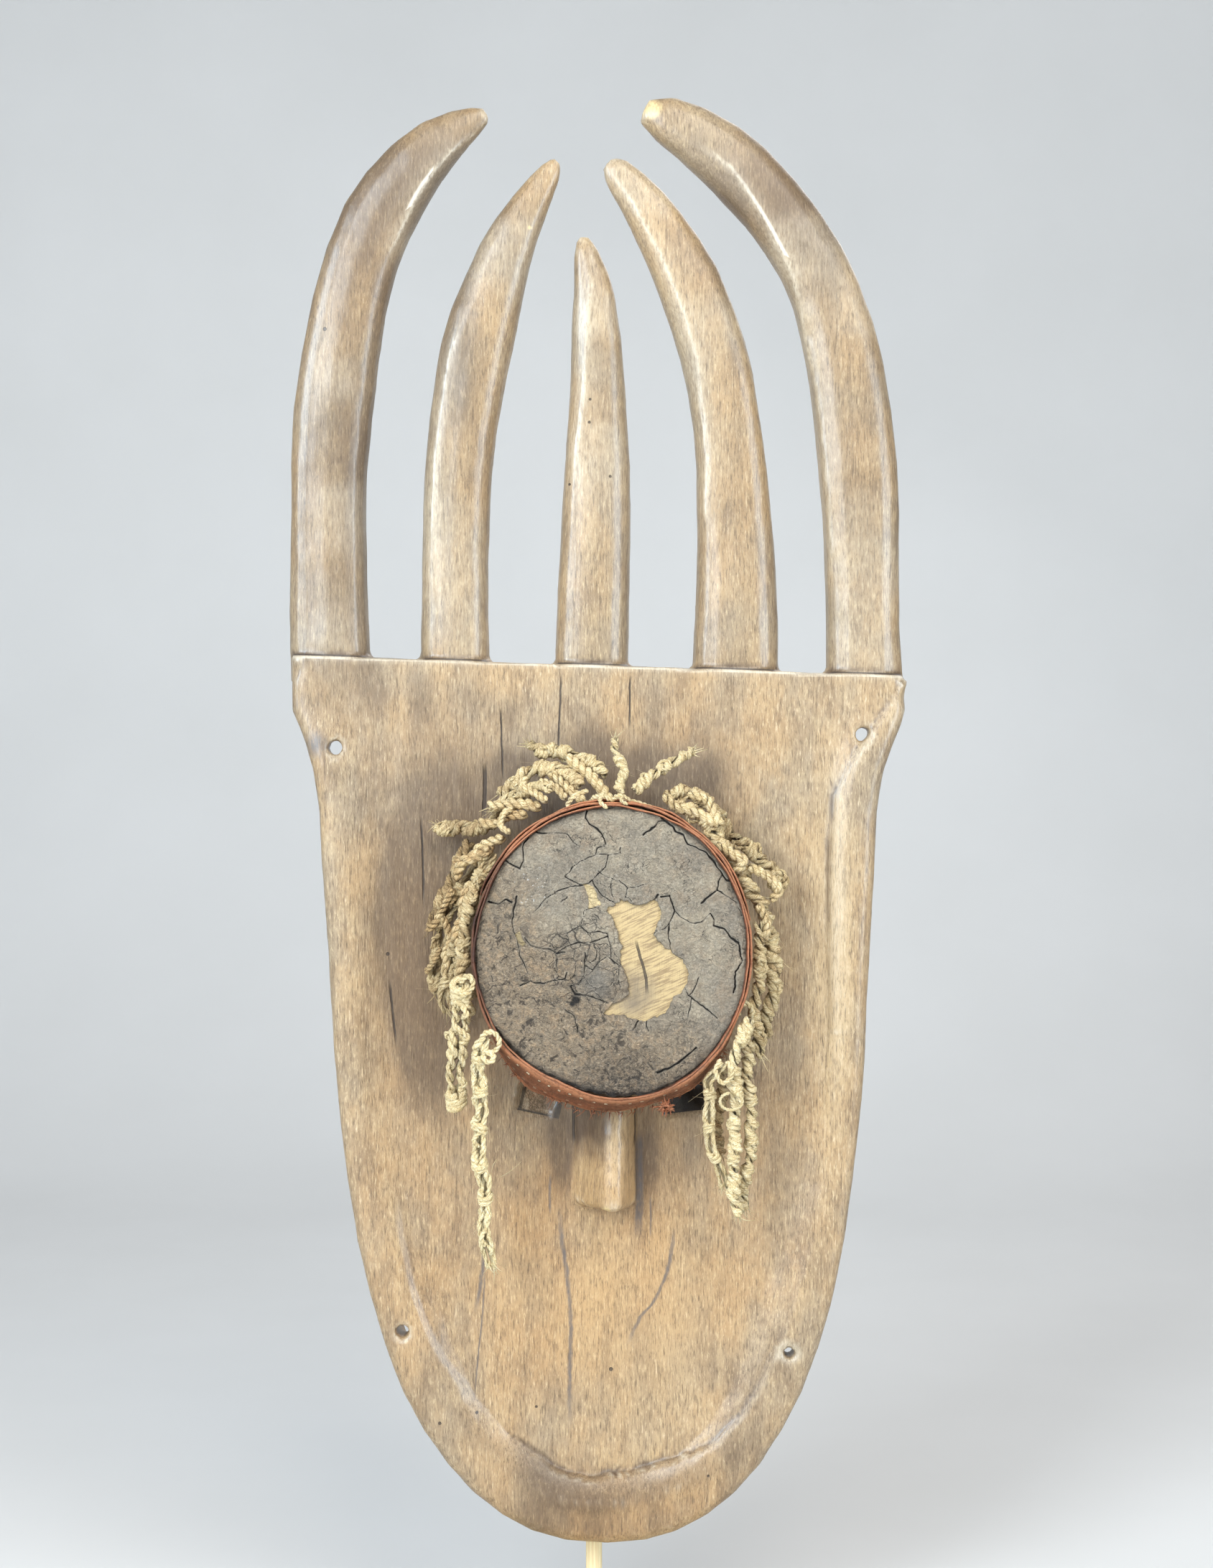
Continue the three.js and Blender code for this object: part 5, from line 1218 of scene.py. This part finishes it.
def bundle(path, radius, seed, tone, pitch):
    """A ply of bast: thin yarns twisted together, uneven along their length."""
    _, side, other = frames(path)
    far = run(path)
    row = flat(far, far * 0)
    count = 4
    made = []
    for j in range(count):
        t = 2 * math.pi * (far / pitch + j / count) + 0.9 * noise(row, 6, seed + j)
        off = radius * 0.46 * (1 + 0.35 * noise(row, 5, seed + 10 + j))
        swell = 1 + 0.3 * noise(row, 4, seed + 20 + j) + 0.14 * noise(row, 1.7, seed + 30 + j)
        thick = radius * 0.5 * swell
        made.append(tube(path + spoke(side, other, t) * off[:, None], thick, YARN_SIDES, 3, 0.9,
            tone * rng.uniform(0.6, 1.4), seed + j))
    return made


def knot(path, i, axes, diameter, tone, seed):
    """A few turns of yarn pulled tight round a cord."""
    along, side, other = (a[i] for a in axes)
    t = np.linspace(0, 2.4 * 2 * math.pi, 46)
    lean = rng.uniform(-0.5, 0.5, 2)
    lift = (t / t[-1] - 0.5) * 0.7 + (np.cos(t) * lean[0] + np.sin(t) * lean[1]) * 0.5
    swell = 0.35 + 0.05 * np.sin(2 * t + seed)
    ring = path[i] + spoke(side, other, t) * (diameter * swell)[:, None]
    ring = ring + along * (lift * diameter)[:, None]
    return bundle(ring, diameter * 0.2, seed, tone, diameter * 1.5)


def plait(points, diameter, make, tone, knots, seed):
    """A cord of two or three plies on a smooth curve, and that curve's points and length."""
    path, length = line_through(points, 0.95)
    along, side, other = frames(path)
    far = np.linspace(0, length, len(path))
    row = flat(far, far * 0)
    sway = [diameter * 0.07 * noise(row, size, seed + k) for size, k in ((8, 5), (7, 6))]
    middle = path + side * sway[0][:, None] + other * sway[1][:, None]
    ends = np.minimum(1, 0.5 + 0.5 * np.minimum(far, length - far) / 2.0)
    lump = (1 + 0.32 * noise(row, diameter * 0.9, seed + 7)) * ends

    def laid(across, deep, thick, pitch, s):
        rows = middle + other * (across * diameter)[:, None] + side * (deep * diameter)[:, None]
        radius = diameter * thick * lump * (1 + 0.15 * noise(row, 5, s + 60))
        return bundle(rows, radius, s, tone, diameter * pitch)

    def winding(pitch, share):
        return 2 * math.pi * (far / (diameter * pitch) + share)

    chunks = []
    if make == "double":
        for shift, s in ((-0.25, seed), (0.25, seed + 50)):
            for k in range(2):
                t = winding(1.2, k / 2) + s
                chunks += laid(shift + 0.12 * np.cos(t), 0.15 * np.sin(t), 0.15, 0.8, s + k)
    elif make == "chain":
        bounds = np.array([0, *knots, 1.15]) * length
        loops = np.zeros_like(far)
        for a, b in zip(bounds, bounds[1:]):
            arch = np.sin(math.pi * np.clip((far - a) / (b - a), 0, 1))
            loops = np.where((far >= a) & (far <= b), arch, loops)
        for k in (-1, 1):
            across = k * (0.13 + 0.16 * loops) + 0.03 * noise(row, 6, seed + k)
            chunks += laid(across, k * 0.06 * np.cos(far / 7), 0.23 - 0.02 * loops, 1.6, seed + 7 * k)
        chunks += laid(0.1 * noise(row, 9, seed + 3), -0.1 + 0 * far, 0.13, 1.6, seed + 19)
    elif make == "braid":
        for k in range(3):
            t = winding(2.3, k / 3) + 0.6 * noise(row, 10, seed + 8)
            chunks += laid(0.27 * np.sin(t), 0.18 * np.sin(2 * t), 0.25, 1.5 if k else -1.5, seed + k * 7)
    else:
        for k in range(2):
            t = winding(2.1, k / 2) + 0.9 * noise(row, 9, seed + 9)
            chunks += laid(0.24 * np.cos(t), 0.24 * np.sin(t), 0.3, -1.7, seed + k * 7)

    # Painted shade: what lies deep in the cord, behind it or close to the plate is darker
    for c in chunks:
        ring = c["verts"][:-2].reshape(len(path), -1, 3)
        out = np.linalg.norm(ring - middle[:, None], axis=2)
        widest = np.percentile(out, 90, axis=1, keepdims=True)
        behind = (ring[..., 1] - middle[:, None, 1]) / diameter
        hidden = np.maximum(smooth(0.88, 0.46, out / widest), 0.95 * smooth(-0.04, 0.3, behind))
        deep = 0.32 * smooth(-42, -16, ring[..., 1]) * (make != "chain")
        cord_shade = np.append(np.minimum(hidden + deep, 1).ravel(), (0.5, 0.5))
        c["cord_shade"] = cord_shade * (0.6 if make == "chain" else 1.0)
    for n, share in enumerate(knots):
        i = int(share * (len(path) - 1))
        chunks += knot(middle, i, (along, side, other), diameter, tone * 0.8, seed + 70 + n)
    return chunks, path, length


def set_tone(chunk, tone):
    chunk["tone"] = np.full(len(chunk["verts"]), tone)
    return chunk


def fringe(material):
    """The cords of the fringe, each its own piece, and the fibres that stray from them."""
    strays, tangle = [], []
    for n, (name, diameter, make, tone, knots, points) in enumerate(CORDS):
        chunks, path, length = plait(points, diameter, make, tone, knots, 100 + 31 * n)
        obj = piece(name + "_plait", chunks, material, name)
        first, last = (np.hypot(p[0] - BOSS_X, p[2] - BOSS_Z) for p in (path[0], path[-1]))
        route = path if first <= last else path[::-1]
        along, side, other = frames(route)
        for _ in range(int(length * (0.32))):
            i = rng.integers(2, len(route) - 2)
            out = spoke(side[i], other[i], rng.uniform(0, 2 * math.pi))
            way = unit(out * rng.uniform(0.3, 1.0) + along[i] * rng.normal(0.3, 1.0) + [0, 0, -0.25])
            long, thick = rng.gamma(2.2, 1.2) + 0.8, rng.uniform(0.08, 0.17)
            bend = rng.normal(0, 0.55, 3) + [0, 0, -0.15]
            fibre = hair(route[i] + out * diameter * 0.4, way, long, thick, bend)
            strays.append(set_tone(fibre, tone * 0.6))
        if diameter > 7 and not name.startswith("right"):
            for _ in range(int(length / (11))):
                i = rng.integers(4, len(route) - 12)
                t, back = rng.uniform(0, 2 * math.pi), rng.integers(6, 12)
                out = spoke(side[i], other[i], t)
                over = unit(out + other[i] * rng.normal(0, 0.5))
                arch = [route[i] + out * diameter * 0.28,
                    route[i + back // 2] + over * diameter * rng.uniform(0.5, 0.68),
                    route[i + back] + over * diameter * 0.2]
                tangle += yarn(arch, diameter * rng.uniform(0.26, 0.36), 300 + i, tone * 0.9)
        for _ in range(11):
            spread = unit(along[-1] + rng.normal(0, 0.33, 3) + [0, 0, -0.1])
            root = route[-1] - along[-1] * 2.5 + rng.normal(0, diameter * 0.13, 3)
            long, thick, bend = rng.uniform(3.5, 9.0), rng.uniform(0.22, 0.6), rng.normal(0, 0.3, 3)
            strays.append(set_tone(hair(root, spread, long, thick, bend, 5, 8), tone * 0.8))
    return strays, tangle


def yarn(points, diameter, seed, tone, pitch=1.9):
    """Two thin plies twisted together along a curve."""
    path, length = line_through(points, 0.6)
    _, side, other = frames(path)
    far = np.linspace(0, length, len(path))
    thick = diameter * 0.28 * (1 + 0.2 * noise(flat(far, far * 0), diameter, seed))
    made = []
    for k in range(2):
        t = 2 * math.pi * (far / (diameter * pitch) + k / 2)
        rows = path + spoke(side, other, t) * diameter * 0.23
        ply = tube(rows, thick, YARN_SIDES, 3, 0.8, tone, seed + k)
        # Painted shade where the yarn's plies lie deep in it
        out = np.linalg.norm(ply["verts"][:-2].reshape(len(path), -1, 3) - path[:, None], axis=2) / diameter
        ply["cord_shade"] = np.append(smooth(0.36, 0.16, out).ravel(), (0.3, 0.3)) * (diameter > 4.5)
        made.append(ply)
    return made


def loop(cx, cy, cz, rx, rz, tilt, start, end):
    """Points round an upright loop, leaning out at one side."""
    turns = np.radians(np.linspace(start, end, 12))
    return [(cx + rx * math.cos(t), cy - tilt * math.sin(t), cz + rz * math.sin(t)) for t in turns]


def tie_and_loops(material, strays, tangle):
    """The yarn tied round the boss, and the small loops and ends knotted over the leather."""
    ring = []
    for turn in range(90, 455, 5):
        t = math.radians(turn)
        lift = max(0, math.sin(t)) ** 6
        reach = 3.4 + 3.2 * lift + 0.4 * math.sin(5 * t)
        across, up = (TIE_RX + reach) * math.cos(t), (TIE_RZ + reach) * math.sin(t)
        ring.append((BOSS_X + across, TIE_Y - 20 * lift, BOSS_Z + up))
    piece("tie_yarn", yarn(ring, 3.6, 5, 0.3), material, "tie_cord")
    rows = KNOTTED_YARN + [(loop(*shape), *rest) for shape, *rest in YARN_LOOPS]
    for row in sorted(rows, key=lambda row: row[2]):
        tangle += yarn(*row)
    for n, (diameter, tone, points) in enumerate(LOOSE_YARN):
        tangle += yarn(points, diameter, 60 + n, tone, 1.5)
    for start, way, length, bend in LONG_FIBRES:
        fibre = hair(np.array(start, float), unit(np.array(way)), length, 0.22, np.array(bend), 4, 10)
        strays.append(set_tone(fibre, 0.0))
    piece("yarn_loops", tangle, material)
    piece("stray_fibres", strays, material)


def pine_piece(obj, node, material, axis):
    """A stand piece with its grain along one axis."""
    add_value(obj.data, "grain", np.roll(read_mesh(obj.data)[0], 2 - axis, axis=1))
    declare(obj, material, node)


def stand(material):
    """The dowel, a little uneven and soft at its ends, and the block foot with soft edges."""
    low, high = np.array(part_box("stand_rod")) / MM
    x, y, _ = (low + high) / 2
    turn = np.linspace(0, 2 * math.pi, ROD_SIDES, endpoint=False)
    soft = 0.6
    rings = [(low[2], ROD_END_R), (low[2] + soft, ROD_R)]
    rings += [(z, ROD_R + 0.03 * math.sin(z)) for z in range(60, 560, 50)]
    rings += [(high[2] - soft, ROD_R), (high[2], ROD_END_R)]
    c, s = np.cos(turn), np.sin(turn)
    verts = [np.stack([x + r * c, y + r * s, np.full(ROD_SIDES, z)], -1) for z, r in rings]
    last = (len(rings) - 1) * ROD_SIDES
    caps = [list(range(ROD_SIDES - 1, -1, -1)), list(range(last, last + ROD_SIDES))]
    faces = grid(len(rings), ROD_SIDES).tolist() + caps
    mesh = bpy.data.meshes.new("rod")
    mesh.from_pydata((np.vstack(verts) * MM).tolist(), [], faces)
    shade_smooth(mesh)
    pine_piece(placed("rod", mesh), "stand_rod", material, 2)
    foot = copied("foot", "stand_foot")
    bevel = foot.modifiers.new("soft", "BEVEL")
    bevel.width, bevel.segments = 1.2 * MM, 3
    bevel.limit_method, bevel.angle_limit = "ANGLE", math.radians(30)
    baked(foot)
    pine_piece(foot, "stand_foot", material, 0)


def light(name, at, look, size, power, color, gloss_only):
    lamp = bpy.data.lights.new(name, "AREA")
    lamp.shape, lamp.size, lamp.size_y, lamp.energy, lamp.color = "RECTANGLE", *size, power, color
    obj = placed(name, lamp)
    obj.visible_diffuse = not gloss_only
    obj.location = at
    obj.rotation_euler = (Vector(look) - Vector(at)).to_track_quat("-Z", "Y").to_euler()


def studio():
    """A pale floor that sweeps up into a pale wall, and soft window-like light from the upper left."""
    foot_y, bend = 1.6, 0.9
    turns = np.radians(np.linspace(8, 90, 12))
    rows = [(-4.0, 0.0), (foot_y, 0.0)]
    rows += [(foot_y + bend * math.sin(t), bend - bend * math.cos(t)) for t in turns]
    rows += [(2.5, 4.5)]
    mesh = bpy.data.meshes.new("floor")
    mesh.from_pydata([(x, y, z) for y, z in rows for x in (-5.0, 5.0)], [],
        [(2 * i, 2 * i + 1, 2 * i + 3, 2 * i + 2) for i in range(len(rows) - 1)])
    shade_smooth(mesh)
    s = Shader("floor")
    tone = s.noise(s.place(), 0.004, 3)
    mesh.materials.append(s.finish(s.mix(tone, (0.7, 0.7, 0.69), (0.76, 0.76, 0.755)), 0.8))
    placed("floor", mesh)
    world = bpy.data.worlds.new("studio")
    world.use_nodes = True
    sky = world.node_tree.nodes["Background"].inputs
    sky[0].default_value, sky[1].default_value = (0.88, 0.93, 1.0, 1), 0.3
    bpy.context.scene.world = world
    for row in LIGHTS:
        light(*row)


bast = bast_material()
tie_and_loops(bast, *fringe(bast))
carved_wood(weathered_wood())
resin_crust(crust_material())
leather_band(leather_material())
stand(pine_material())
studio()
bpy.context.scene.view_settings.view_transform = "Standard"
